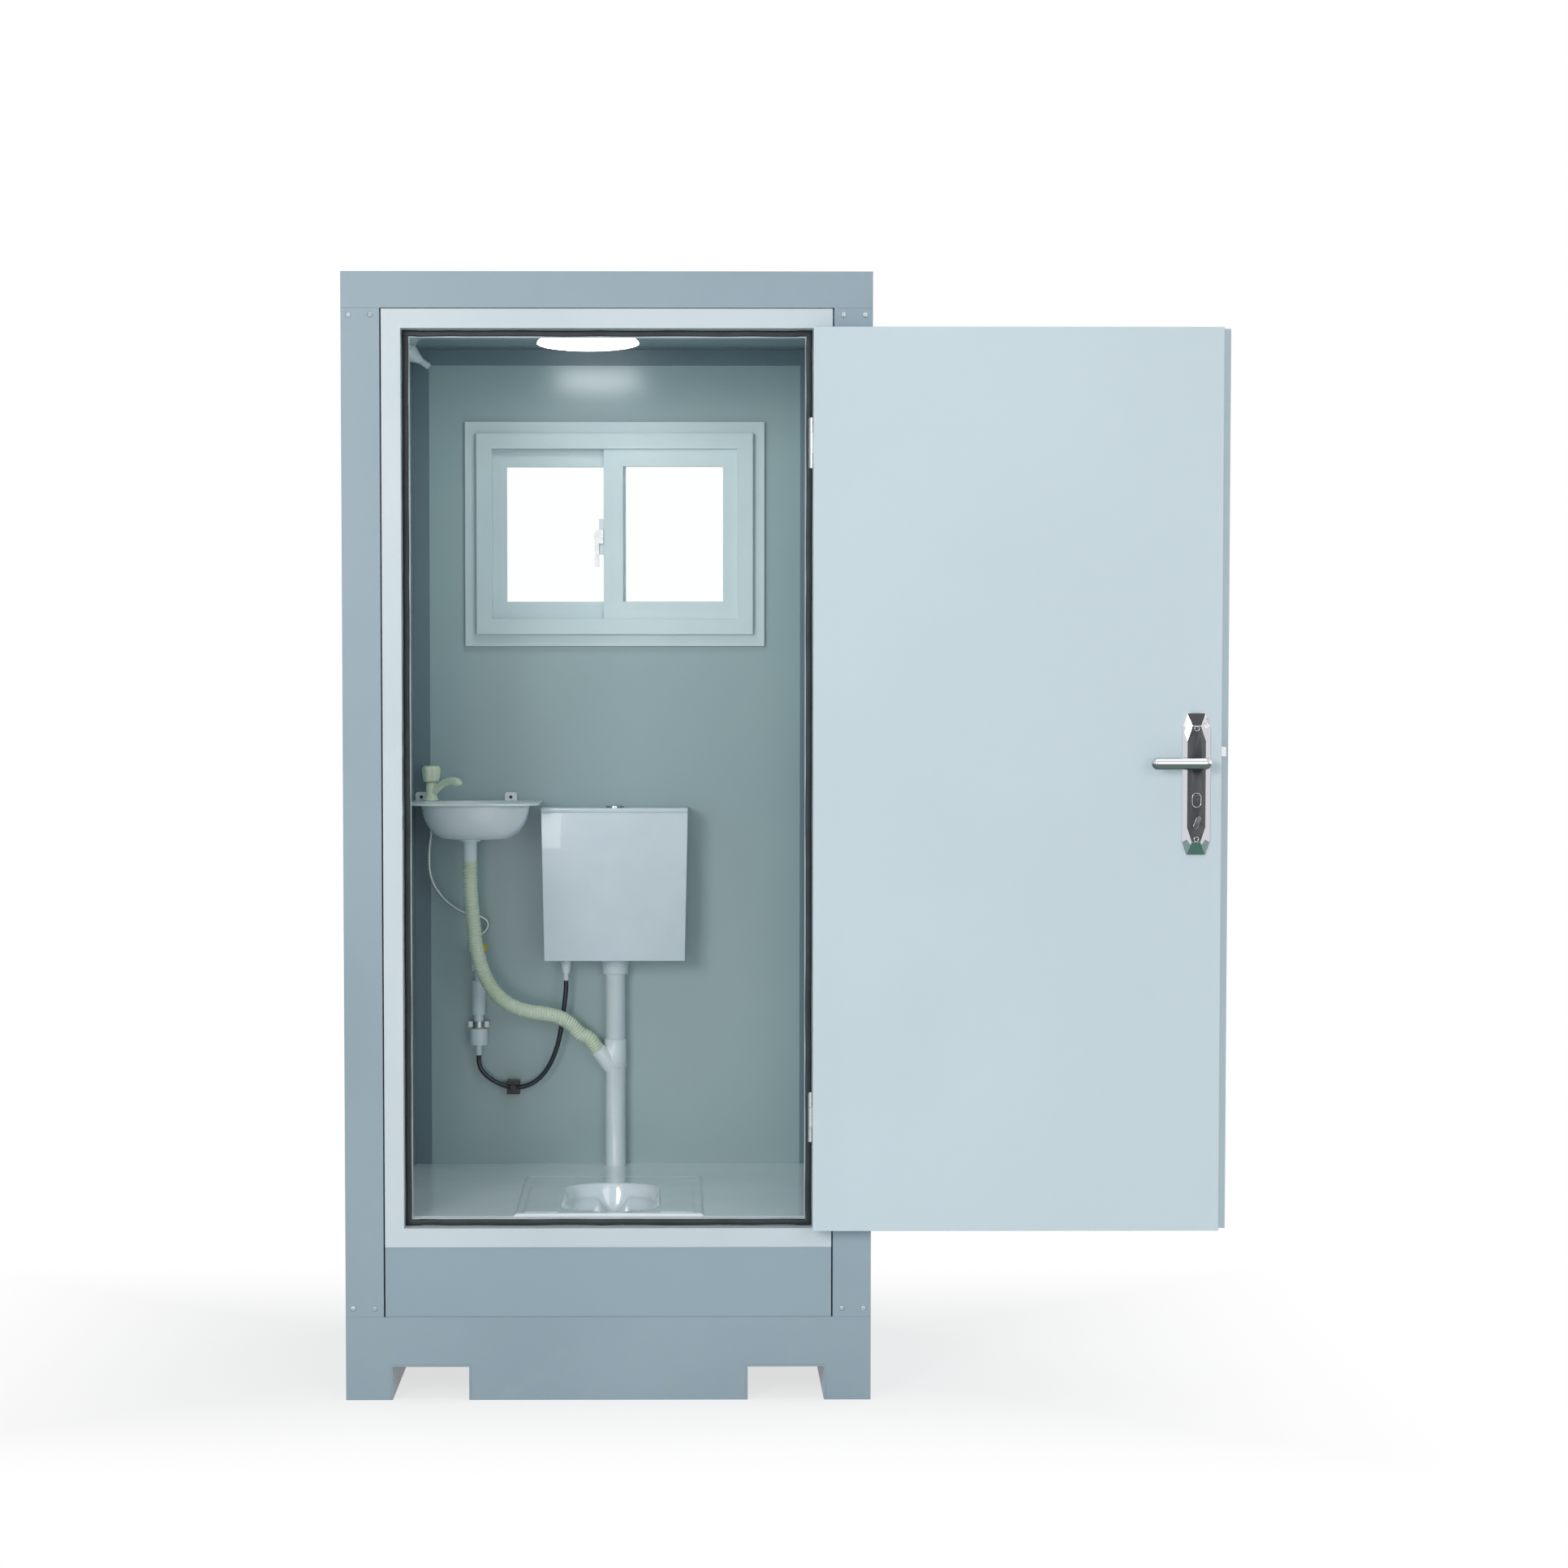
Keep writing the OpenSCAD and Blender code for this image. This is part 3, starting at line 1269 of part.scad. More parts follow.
module squat_pan() {
    color(ceramic_white) difference() {
        union() {
            box([-pan_w / 2, pan_front, floor_z], [pan_w / 2, pan_back, pan_top]);
            both() box([bowl_r + 1, pan_front + 22, pan_top - 1], [bowl_r + 1 + tread_w, pan_front + 22 + tread_l, pan_top + tread_h]);
            intersection() {
                bowl_space(pan_t, 0);
                box([-pan_w, pan_front, 0], [pan_w, pan_back, pan_top]);
            }
            rod_y(0, elbow_z, bowl_back_y, bowl_back_y + pan_t + horn_l, flush_d / 2 + 3);
        }
        bowl_space(0, past);
        rod(0, well_y, pan_top - pan_deep - pan_t - past, pan_top, well_r - 8);
        rod_y(0, elbow_z, bowl_back_y + pan_t - 2, bowl_back_y + pan_t + horn_l + past, flush_d / 2 - 3);
        rod_y(0, inlet_hole_z, bowl_back_y - past, bowl_back_y + pan_t, inlet_hole_r);
    }
}

module waste_trap() {
    r = waste_d / 2;
    pipe_r = waste_pipe_d / 2;
    top = pan_top - pan_deep - pan_t;
    color(plastic_white) difference() {
        union() {
            rod(0, well_y, waste_z - r, top, r);
            rod_y(0, waste_z, well_y, spigot_end, pipe_r);
            rod_y(0, waste_z, wall_out + spigot_gap, spigot_end, r);
        }
        rod(0, well_y, waste_z, top + past, r - waste_t);
        rod_y(0, waste_z, well_y, spigot_end + past, pipe_r - waste_t);
    }
}

base_frame();
fork_channels();
floor_frame();
floor_board();
infill_panel();
corner_posts();
roof_beams();
roof_panel();
wall_left();
wall_right();
wall_rear();
corner_trims();
frame_screws();
door_frame();
door_gasket();
strike_plate();
hinge_frame_halves();
hinge_door_halves();
door_leaf();
lock_case();
lock_plates();
lever_handles();
latch_bolt();
thumb_turn();
dead_bolt();
window_frame();
sash_left();
pane_left();
sash_right();
pane_right();
window_latch_base();
window_latch_lever();
lamp_base();
lamp_diffuser();
cable_gland();
switch_plate();
switch_rocker();
basin();
basin_waste();
tap_body();
tap_knob();
drain_hose();
supply_hose();
stop_valve();
valve_handle();
riser_pipe();
pipe_clamp();
hose_clip();
cistern_hose();
cistern_tank();
cistern_lid();
flush_button();
fill_valve();
float_cup();
outlet_valve();
valve_plunger();
flush_pipe();
drain_tee();
squat_pan();
waste_trap();
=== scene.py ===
import bisect
import bpy
import bmesh
import math
from mathutils import Matrix, Vector


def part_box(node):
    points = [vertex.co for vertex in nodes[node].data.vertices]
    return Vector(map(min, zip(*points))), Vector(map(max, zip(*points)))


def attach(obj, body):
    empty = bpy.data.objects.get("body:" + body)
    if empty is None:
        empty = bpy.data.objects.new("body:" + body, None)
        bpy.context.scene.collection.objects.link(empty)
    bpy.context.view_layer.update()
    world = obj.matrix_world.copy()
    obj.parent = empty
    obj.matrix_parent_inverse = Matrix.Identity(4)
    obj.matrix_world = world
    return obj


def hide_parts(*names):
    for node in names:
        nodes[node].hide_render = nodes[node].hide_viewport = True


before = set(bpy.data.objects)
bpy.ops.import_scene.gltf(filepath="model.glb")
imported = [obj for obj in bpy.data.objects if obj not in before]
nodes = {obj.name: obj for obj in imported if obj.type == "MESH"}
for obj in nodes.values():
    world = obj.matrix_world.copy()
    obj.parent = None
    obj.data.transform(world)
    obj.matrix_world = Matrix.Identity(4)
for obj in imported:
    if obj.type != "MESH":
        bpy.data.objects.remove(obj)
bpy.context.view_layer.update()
print("frame loaded:", len(nodes), "pieces")

view = {"place": (0.1493, -9.030, 1.502), "pitch": 3.375, "yaw": 0.486,
        "lens": 93.57, "shift": (0.0447, 0.0887), "sensor": 36, "farClip": 60}

camera = bpy.data.objects.new("camera", bpy.data.cameras.new("camera"))
camera.location = view["place"]
camera.rotation_euler = (math.radians(90 - view["pitch"]), 0, -math.radians(view["yaw"]))
camera.data.lens = view["lens"]
camera.data.sensor_width = view["sensor"]
camera.data.shift_x, camera.data.shift_y = view["shift"]
camera.data.clip_end = view["farClip"]
bpy.context.collection.objects.link(camera)
bpy.context.scene.camera = camera


def colour(red, green, blue):  # screen values 0 to 255, to the shader's own scale
    def linear(c):
        c /= 255
        return c / 12.92 if c <= 0.04045 else ((c + 0.055) / 1.055) ** 2.4
    return (linear(red), linear(green), linear(blue), 1)


class Wire:  # one shader socket, with the sums that are done on it
    def __init__(self, tree, socket):
        self.tree = tree
        self.socket = socket

    def node(self, kind, settings=None, out=0, **inputs):  # inputs by name, or as i and their number
        made = self.tree.nodes.new(kind)
        for key, value in (settings or {}).items():
            setattr(made, key, value)
        for key, value in inputs.items():
            byNumber = key[0] == "i" and key[1:].isdigit()
            slot = made.inputs[int(key[1:]) if byNumber else key.replace("_", " ")]
            if isinstance(value, Wire):
                self.tree.links.new(value.socket, slot)
            else:
                slot.default_value = value
        return Wire(self.tree, made.outputs[out])

    def sum(self, operation, a, b):
        return self.node("ShaderNodeMath", {"operation": operation}, i0=a, i1=b)

    def __add__(self, other): return self.sum("ADD", self, other)
    def __radd__(self, other): return self.sum("ADD", other, self)
    def __sub__(self, other): return self.sum("SUBTRACT", self, other)
    def __rsub__(self, other): return self.sum("SUBTRACT", other, self)
    def __mul__(self, other): return self.sum("MULTIPLY", self, other)
    def __rmul__(self, other): return self.sum("MULTIPLY", other, self)
    def __truediv__(self, other): return self.sum("DIVIDE", self, other)
    def __gt__(self, other): return self.sum("GREATER_THAN", self, other)
    def __lt__(self, other): return self.sum("LESS_THAN", self, other)
    def sine(self): return self.node("ShaderNodeMath", {"operation": "SINE"}, i0=self)
    def size(self): return self.node("ShaderNodeMath", {"operation": "ABSOLUTE"}, i0=self)
    def larger(self, other): return self.sum("MAXIMUM", self, other)

    def between(self, low, high, a=0.0, b=1.0):  # a below low, b above high
        return self.node("ShaderNodeMapRange", {"interpolation_type": "SMOOTHSTEP"},
                         Value=self, From_Min=low, From_Max=high, To_Min=a, To_Max=b)

    def spread(self, base, by):
        return self * by + base

    def mix(self, first, second):  # self is the share of the second colour
        return self.node("ShaderNodeMix", {"data_type": "RGBA"}, out=2, i0=self, i6=first, i7=second)

    def shades(self, first, second, low=0.3, high=0.7):  # two colours shared out by a noise
        return self.between(low, high).mix(first, second)


def material(name, base, roughness=0.4, metallic=0.0, coat=0.0, specular=0.5, paint=None, **constants):
    made = bpy.data.materials.new(name)
    made.use_nodes = True
    made.diffuse_color = base
    tree = made.node_tree
    shader = tree.nodes["Principled BSDF"]
    shader.inputs["Base Color"].default_value = base
    shader.inputs["Roughness"].default_value = roughness
    shader.inputs["Metallic"].default_value = metallic
    shader.inputs["Coat Weight"].default_value = coat
    shader.inputs["Specular IOR Level"].default_value = specular
    for key, value in constants.items():
        shader.inputs[key.replace("_", " ")].default_value = value
    if paint:
        start = Wire(tree, tree.nodes.new("ShaderNodeTexCoord").outputs["Object"])
        for key, wire in paint(start).items():
            tree.links.new(wire.socket, shader.inputs[key.replace("_", " ")])
    return made


def noise(at, scale, detail=3.0, roughness=0.5, squash=None):
    if squash:
        at = at.node("ShaderNodeVectorMath", {"operation": "MULTIPLY"}, i0=at, i1=squash)
    return at.node("ShaderNodeTexNoise", {}, Vector=at, Scale=scale, Detail=detail, Roughness=roughness)


def relief(at, height, strength, distance, radius=0.0015, samples=4):
    # a bump on top of the small round that every real edge has
    rounded = at.node("ShaderNodeBevel", {"samples": samples}, Radius=radius)
    return at.node("ShaderNodeBump", {}, Strength=strength, Distance=distance, Height=height, Normal=rounded)


def axis(at, letter):
    return at.node("ShaderNodeSeparateXYZ", {}, out="XYZ".index(letter), Vector=at)


def dress(finish, *names):
    for name in names:
        mesh = nodes[name].data
        mesh.materials.clear()
        mesh.materials.append(finish)


def piece(name, mesh, finish, body="cabin", smooth=True):
    if isinstance(mesh, bmesh.types.BMesh):
        bmesh.ops.recalc_face_normals(mesh, faces=mesh.faces)
        data = bpy.data.meshes.new(name)
        mesh.to_mesh(data)
        mesh.free()
        mesh = data
    for face in mesh.polygons:
        face.use_smooth = smooth
    made = bpy.data.objects.new(name, mesh)
    bpy.context.collection.objects.link(made)
    mesh.materials.append(finish)
    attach(made, body)
    return made


mend = {"weld": 1e-5, "cadWeld": 2e-5, "hoseWeld": 1e-6, "flat": 0.4, "sharp": 38, "tight": 1e-5}
facingFront = Matrix.Rotation(math.pi / 2, 4, "X")


def spunShape(profile, steps, place=(0, 0, 0), turn=None, into=None):
    # a profile of (radius, height) turned about Z
    shape = into or bmesh.new()
    before = set(shape.verts)
    row = [shape.verts.new((r, 0, z)) for r, z in profile]
    edges = [shape.edges.new(pair) for pair in zip(row, row[1:])]
    bmesh.ops.spin(shape, geom=row + edges, cent=(0, 0, 0), axis=(0, 0, 1), angle=math.tau,
                   steps=steps, use_merge=True)
    bmesh.ops.remove_doubles(shape, verts=[v for v in shape.verts if v not in before], dist=mend["weld"])
    grown = [v for v in shape.verts if v not in before]
    bmesh.ops.transform(shape, verts=grown, matrix=Matrix.Translation(place) @ (turn or Matrix()))
    return shape


def roundOff(shape, geom, width, segments, affect="EDGES", clamp=False):
    bmesh.ops.bevel(shape, geom=geom, offset=width, offset_type="OFFSET", segments=segments, profile=0.5,
                    affect=affect, material=-1, clamp_overlap=clamp)


def sizedPlate(shape, middle, wide, long, turn=Matrix(), cells=(1, 1)):
    bmesh.ops.create_grid(shape, x_segments=cells[0], y_segments=cells[1], size=0.5,
                          matrix=Matrix.Translation(middle) @ turn @ Matrix.Diagonal((wide, long, 1, 1)))


def softened(node, width, finish, body="cabin", angle=30, segments=2):
    # a CAD shape with the edges rounded that are sharper than the angle
    shape = bmesh.new()
    shape.from_mesh(nodes[node].data)
    bmesh.ops.remove_doubles(shape, verts=shape.verts, dist=mend["cadWeld"])
    bmesh.ops.dissolve_limit(shape, angle_limit=math.radians(mend["flat"]), verts=shape.verts,
                             edges=shape.edges)
    sharp = [e for e in shape.edges if len(e.link_faces) == 2 and e.calc_face_angle() > math.radians(angle)]
    roundOff(shape, sharp, width, segments, clamp=True)
    made = piece(node + "Piece", shape, finish, body)
    made.data.set_sharp_from_angle(angle=math.radians(mend["sharp"]))
    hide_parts(node)


def sheetPiece(name, shape, finish, thickness):  # an open sheet, turned to face up and thickened below
    bmesh.ops.recalc_face_normals(shape, faces=shape.faces)
    if sum(f.normal.z * f.calc_area() for f in shape.faces) < 0:
        bmesh.ops.reverse_faces(shape, faces=shape.faces)
    sheet = bpy.data.meshes.new(name)
    shape.to_mesh(sheet)
    shape.free()
    made = piece(name, sheet, finish)
    wall = made.modifiers.new("wall", "SOLIDIFY")
    wall.thickness, wall.offset = thickness, -1
    return made


laying = {"pitch": 0.002, "nearEnd": 0.999999, "boreRings": 80, "uvPerMetre": 100}


def smoothRoute(points):
    points = [Vector(p) for p in points]
    ends = [2 * points[0] - points[1], *points, 2 * points[-1] - points[-2]]
    fine = []
    for a, b, c, d in zip(ends, ends[1:], ends[2:], ends[3:]):
        count = max(1, round((c - b).length / laying["pitch"]))
        for j in range(count):
            t = j / count
            fine.append(0.5 * (2 * b + (c - a) * t + (2 * a - 5 * b + 4 * c - d) * t * t
                               + (3 * b - a - 3 * c + d) * t ** 3))
    return fine + [points[-1]]


def routeLength(points):
    return sum((Vector(b) - Vector(a)).length for a, b in zip(points, points[1:]))


def layAlong(verts, route, total):  # bends a straight tube on Z along the route
    marks, run = [], 0.0
    side = Vector((0, 1, 0))
    for i, here in enumerate(route):
        ahead = (route[min(i + 1, len(route) - 1)] - route[max(i - 1, 0)]).normalized()
        side = (side - side.dot(ahead) * ahead).normalized()
        marks.append((run, here, side.copy(), ahead.cross(side)))
        if i + 1 < len(route):
            run += (route[i + 1] - here).length
    runs = [mark[0] for mark in marks]
    for vert in verts:
        z = min(max(vert.co.z, 0), total * laying["nearEnd"])
        low = min(bisect.bisect_right(runs, z), len(runs) - 1) - 1
        share = (z - runs[low]) / (runs[low + 1] - runs[low])
        place, u, v = (marks[low][k].lerp(marks[low + 1][k], share) for k in (1, 2, 3))
        vert.co = place + vert.co.x * u + vert.co.y * v


def hoseTube(name, points, profile, sides, finish, wall=0.0):
    # profile gives the radius at a distance along the hose; wall > 0 adds a bore
    route = smoothRoute(points)
    total = routeLength(route)
    rings = profile(total)
    shape = bmesh.new()
    outer = [shape.verts.new((r, 0, z)) for z, r in rings]
    if wall:
        bore, rows = rings[0][1] - wall, laying["boreRings"]
        outer += [shape.verts.new((bore, 0, total * (1 - i / rows))) for i in range(rows + 1)] + [outer[0]]
    else:
        outer = [shape.verts.new((0, 0, 0)), *outer, shape.verts.new((0, 0, total))]
    edges = [shape.edges.new(pair) for pair in zip(outer, outer[1:])]
    bmesh.ops.spin(shape, geom=list(dict.fromkeys(outer)) + edges, cent=(0, 0, 0), axis=(0, 0, 1),
                   angle=math.tau, steps=sides, use_merge=True)
    bmesh.ops.remove_doubles(shape, verts=shape.verts, dist=mend["hoseWeld"])
    uv = shape.loops.layers.uv.new("along")
    for face in shape.faces:
        turns = [math.atan2(corner.vert.co.y, corner.vert.co.x) / math.tau for corner in face.loops]
        wraps = max(turns) - min(turns) > 0.5
        for corner, turn in zip(face.loops, turns):
            height = corner.vert.co.z * laying["uvPerMetre"]
            corner[uv].uv = (turn + (1 if wraps and turn < 0 else 0), height)
    layAlong(shape.verts, route, total)
    made = piece(name, shape, finish)
    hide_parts(name.replace("Piece", ""))
    return made, route, total


branch = {"rise": math.radians(50), "turn": math.radians(30), "root": (0, 0.436, 0.595), "reach": 0.075,
          "inside": 0.034}
branchLevel = math.cos(branch["rise"])
branchWay = Vector((-branchLevel * math.cos(branch["turn"]), -branchLevel * math.sin(branch["turn"]),
                    math.sin(branch["rise"])))
branchTip = Vector(branch["root"]) + branch["reach"] * branchWay

drainHose = {
    "outside": 0.034, "rib": 0.0065, "depth": 0.0022, "wall": 0.005, "sides": 28,
    "wave": [(0.18, 0), (0.38, 0.75), (0.5, 1), (0.62, 0.75), (0.82, 0)],
    "route": [
        (-0.330, 0.300, 1.092), (-0.330, 0.300, 1.058), (-0.329, 0.300, 1.024), (-0.326, 0.301, 0.985),
        (-0.322, 0.303, 0.945), (-0.318, 0.305, 0.905), (-0.310, 0.309, 0.866), (-0.298, 0.315, 0.830),
        (-0.280, 0.322, 0.798), (-0.256, 0.330, 0.772), (-0.226, 0.340, 0.754), (-0.194, 0.350, 0.744),
        (-0.160, 0.362, 0.738), (-0.128, 0.374, 0.729), (-0.102, 0.386, 0.712), (-0.082, 0.395, 0.690),
        tuple(branchTip + branch["inside"] * branchWay), tuple(branchTip)]}
supplyHose = {
    "outside": 0.009, "pitch": 0.003, "sides": 12,
    "route": [
        (-0.424, 0.400, 1.180), (-0.424, 0.400, 1.168), (-0.426, 0.400, 1.146), (-0.429, 0.400, 1.120),
        (-0.430, 0.402, 1.093), (-0.428, 0.406, 1.062), (-0.418, 0.411, 1.032), (-0.400, 0.417, 1.006),
        (-0.378, 0.422, 0.985), (-0.352, 0.427, 0.970), (-0.330, 0.431, 0.963), (-0.312, 0.434, 0.959),
        (-0.299, 0.436, 0.950), (-0.296, 0.436, 0.938), (-0.302, 0.436, 0.926), (-0.311, 0.436, 0.918),
        (-0.317, 0.436, 0.912), (-0.318, 0.436, 0.904)]}
cisternHose = {
    "outside": 0.011, "pitch": 0.003, "sides": 14,
    "route": [
        (-0.318, 0.436, 0.636), (-0.318, 0.436, 0.620), (-0.313, 0.436, 0.604), (-0.302, 0.436, 0.590),
        (-0.285, 0.436, 0.577), (-0.262, 0.436, 0.566), (-0.238, 0.436, 0.561), (-0.212, 0.434, 0.563),
        (-0.188, 0.431, 0.574), (-0.168, 0.428, 0.592), (-0.152, 0.424, 0.616), (-0.139, 0.420, 0.646),
        (-0.130, 0.417, 0.678), (-0.124, 0.414, 0.712), (-0.119, 0.412, 0.748), (-0.115, 0.412, 0.782),
        (-0.114, 0.412, 0.798), (-0.114, 0.412, 0.812)]}


def ribbed(length):
    outer, depth = drainHose["outside"] / 2, drainHose["depth"]
    count = round(length / drainHose["rib"])
    step = length / count
    rings = [(0, outer)]
    for i in range(count):
        rings += [(step * (i + share), outer - depth * sunk) for share, sunk in drainHose["wave"]]
    return rings + [(length, outer)]


def plain(facts):
    def rings(length):
        count = round(length / facts["pitch"])
        return [(length * i / count, facts["outside"] / 2) for i in range(count + 1)]
    return rings


def hosePaint(at):
    grime = noise(at, scale=9, detail=4)
    fine = noise(at, scale=220, detail=2)
    return {"Base_Color": grime.between(0.35, 0.72).mix(colour(234, 243, 224), colour(224, 236, 208)),
            "Roughness": fine.spread(base=0.38, by=0.15)}


def braid(at, turns, perUv):  # two families of threads that cross
    uv = at.node("ShaderNodeTexCoord", {}, out=2)
    around, along = axis(uv, "X") * (math.tau * turns), axis(uv, "Y") * perUv
    return (around + along).sine() * (around - along).sine()


def braidPaint(at):
    # the weave is painted shade in the gaps between the strands and painted highlight on their tops
    weave = braid(at, turns=6, perUv=12).between(-0.7, 0.7)
    return {"Base_Color": weave.mix(colour(150, 158, 158), colour(236, 240, 240)),
            "Roughness": weave.spread(base=0.3, by=0.2),
            "Normal": relief(at, weave, strength=0.6, distance=0.0004, radius=0.0002)}


def blackHosePaint(at):
    weave = braid(at, turns=8, perUv=16).between(0.3, 0.9)
    return {"Base_Color": weave.mix(colour(26, 30, 34), colour(66, 74, 80)),
            "Roughness": weave.spread(base=0.36, by=-0.1),
            "Normal": relief(at, weave, strength=0.4, distance=0.0003, radius=0.0002)}


drainFinish = material("drainHoseGreen", colour(229, 240, 216), 0.42, paint=hosePaint, Subsurface_Weight=0.15,
                       Subsurface_Radius=(0.01, 0.01, 0.006))
braidFinish = material("steelBraid", colour(180, 186, 186), 0.35, 0.8, paint=braidPaint)
blackHoseFinish = material("blackHose", colour(30, 33, 36), 0.34, coat=0.3, paint=blackHosePaint)

for name, facts, profile, finish, slotName, stiffness in (
        ("drain_hose", drainHose, ribbed, drainFinish, "hose_green", "limp"),
        ("supply_hose", supplyHose, plain(supplyHose), braidFinish, "hose_braid", "limp"),
        ("cistern_hose", cisternHose, plain(cisternHose), blackHoseFinish, "hose_black", "medium")):
    hose, route, length = hoseTube(name + "Piece", facts["route"], profile, facts["sides"], finish,
                                   facts.get("wall", 0))
    [tuple(p) for p in route[::3] + [route[-1]]]
    print(name, "laid, length %.3f m" % length)


def framePaint(at):
    cloud = noise(at, scale=1.6, detail=4)
    peel = noise(at, scale=320, detail=2)
    low = axis(at, "Z").between(0.0, 0.22, 1, 0)
    dusty = noise(at, scale=26, detail=5, roughness=0.6).between(0.5, 0.75) * low * 0.35
    base = cloud.shades(colour(146, 168, 180), colour(156, 176, 188))
    return {"Base_Color": dusty.mix(base, colour(168, 176, 176)),
            "Roughness": cloud.spread(base=0.34, by=0.12),
            "Normal": relief(at, peel, strength=0.12, distance=0.0004, radius=0.002)}


panel = {"outsideFrom": 0.49, "outsideRough": 0.16, "cloudRough": 0.08}


def panelPaint(light, dark, gloss=0.26):  # the outside faces are duller than the inside ones
    def paint(at):
        cloud = noise(at, scale=1.1, detail=3)
        peel = noise(at, scale=240, detail=2)
        outside = axis(at, "X").size().larger(axis(at, "Y")) > panel["outsideFrom"]
        return {"Base_Color": cloud.shades(dark, light),
                "Roughness": outside * panel["outsideRough"] + cloud * panel["cloudRough"] + gloss,
                "Normal": relief(at, peel, strength=0.04, distance=0.0002, radius=0.0015)}
    return paint


def whitePaint(at):
    cloud = noise(at, scale=3, detail=3)
    peel = noise(at, scale=300, detail=2)
    return {"Base_Color": cloud.shades(colour(206, 220, 226), colour(213, 226, 232)),
            "Roughness": cloud.spread(base=0.3, by=0.1),
            "Normal": relief(at, peel, strength=0.06, distance=0.0003, radius=0.0012)}


def windowPaint(at):
    cloud = noise(at, scale=4, detail=3)
    peel = noise(at, scale=300, detail=2)
    return {"Base_Color": cloud.shades(colour(220, 236, 239), colour(227, 242, 244)),
            "Roughness": cloud.spread(base=0.32, by=0.1),
            "Normal": relief(at, peel, strength=0.05, distance=0.0003, radius=0.002)}


def floorPaint(at):
    cloud = noise(at, scale=3.2, detail=4)
    speck = noise(at, scale=130, detail=3)
    base = cloud.shades(colour(236, 247, 251), colour(242, 251, 254))
    return {"Base_Color": (speck.between(0.62, 0.72) * 0.25).mix(base, colour(222, 234, 240)),
            "Roughness": cloud.spread(base=0.13, by=0.08),
            "Normal": relief(at, cloud, strength=0.08, distance=0.002, radius=0.001)}


framePaintwork = material("framePaint", colour(152, 173, 185), 0.38, coat=0.1, paint=framePaint)
panelFinish = material("panelFace", colour(166, 190, 193), 0.18, specular=0.8,
                       paint=panelPaint(colour(170, 194, 196), colour(160, 184, 188), 0.15))
# corner trims: their own grey-blue paint, made darker still as painted shade of the dim corners round the
# back wall
trimPaintAndShade = material("trimFaceAndShade", colour(112, 136, 146), 0.34,
                      paint=panelPaint(colour(116, 140, 150), colour(106, 130, 140)))
infillFinish = material("infillFace", colour(150, 174, 186), 0.34,
                        paint=panelPaint(colour(155, 178, 189), colour(147, 171, 183)))
doorFinish = material("doorFace", colour(208, 225, 233), 0.34,
                      paint=panelPaint(colour(210, 227, 235), colour(205, 222, 230)))
profileFinish = material("whiteProfile", colour(210, 223, 229), 0.34, paint=whitePaint)
windowFinish = material("windowProfile", colour(224, 239, 242), 0.36, paint=windowPaint)
floorFinish = material("floorSheet", colour(238, 249, 252), 0.2, coat=0.3, paint=floorPaint)

dress(framePaintwork, "base_frame", "fork_channels", "floor_frame", "corner_posts", "roof_beams")
dress(panelFinish, "wall_left", "wall_right", "wall_rear", "roof_panel")
dress(trimPaintAndShade, "corner_trims")
dress(infillFinish, "infill_panel")
dress(doorFinish, "door_leaf")
dress(profileFinish, "door_frame")
dress(windowFinish, "window_frame", "sash_left", "sash_right")
dress(floorFinish, "floor_board")
print("cabin finished")


def brushedPaint(at):
    streak = noise(at, scale=60, detail=3, squash=(1, 1, 14))
    return {"Base_Color": streak.shades(colour(168, 172, 174), colour(196, 199, 200)),
            "Roughness": streak.spread(base=0.22, by=0.25),
            "Normal": relief(at, streak, strength=0.1, distance=0.0003, radius=0.0008)}


def chromePaint(at):  # the underside of polished metal is painted dark green as a reflection of the ground
    smear = noise(at, scale=40, detail=3)
    groundReflection = axis(at.node("ShaderNodeTexCoord", {}, out=1), "Z").between(-0.12, 0.12, 1, 0)
    return {"Roughness": smear.between(0.4, 0.8, 0.05, 0.13),
            "Base_Color": (groundReflection * 0.86).mix(colour(206, 208, 212), colour(52, 78, 72))}


def thumbPaint(at):  # dark face, bright edge
    normal = at.node("ShaderNodeTexCoord", {}, out=1)
    face = axis(normal, "Y").size() > 0.98
    return {"Base_Color": face.mix(colour(204, 206, 210), colour(84, 86, 90)),
            "Roughness": face.spread(base=0.1, by=0.2)}


plate = {"x": 1.217, "z": 1.293, "half": (0.0190, 0.1195), "cut": (0.010, 0.030), "facing": 0.97,
         "tilt": 0.12, "narrow": 0.1, "smear": 0.5}


def platePaint(at):  # chrome facets painted with reflections by the way they face, round a dark face with cut corners
    (halfWide, halfTall), (cutWide, cutTall), tilt = plate["half"], plate["cut"], plate["tilt"]
    sideways, upright = (axis(at, "X") - plate["x"]).size(), (axis(at, "Z") - plate["z"]).size()
    slant = sideways / cutWide + upright / cutTall
    reach = halfWide / cutWide + halfTall / cutTall - 1
    inside = (sideways < halfWide) * (upright < halfTall) * (slant < reach)
    normal = at.node("ShaderNodeTexCoord", {}, out=1)
    dark = inside * (axis(normal, "Y").size() > plate["facing"])
    up, across = axis(normal, "Z"), axis(normal, "X")
    middle = across.size() < plate["narrow"]
    # painted reflections: upper facets bright with a dark middle, lower facets grey-green with a dark green
    # middle, side facets light grey
    above = middle.mix(colour(238, 240, 242), colour(84, 84, 88))
    below = middle.mix(colour(128, 148, 148), colour(78, 112, 102))
    reflectionTone = (up < -tilt).mix((up > tilt).mix(colour(208, 210, 216), above), below)
    smear = noise(at, scale=90, detail=3)
    worn = smear.between(0.45, 0.6) * (up > tilt) * (across > plate["narrow"]) * plate["smear"]
    reflectionTone = worn.mix(reflectionTone, colour(120, 122, 128))
    return {"Base_Color": dark.mix(reflectionTone, colour(62, 63, 68)), "Metallic": 1 - dark * 0.6,
            "Roughness": dark * 0.2 + smear.between(0.4, 0.8, 0.1, 0.2)}


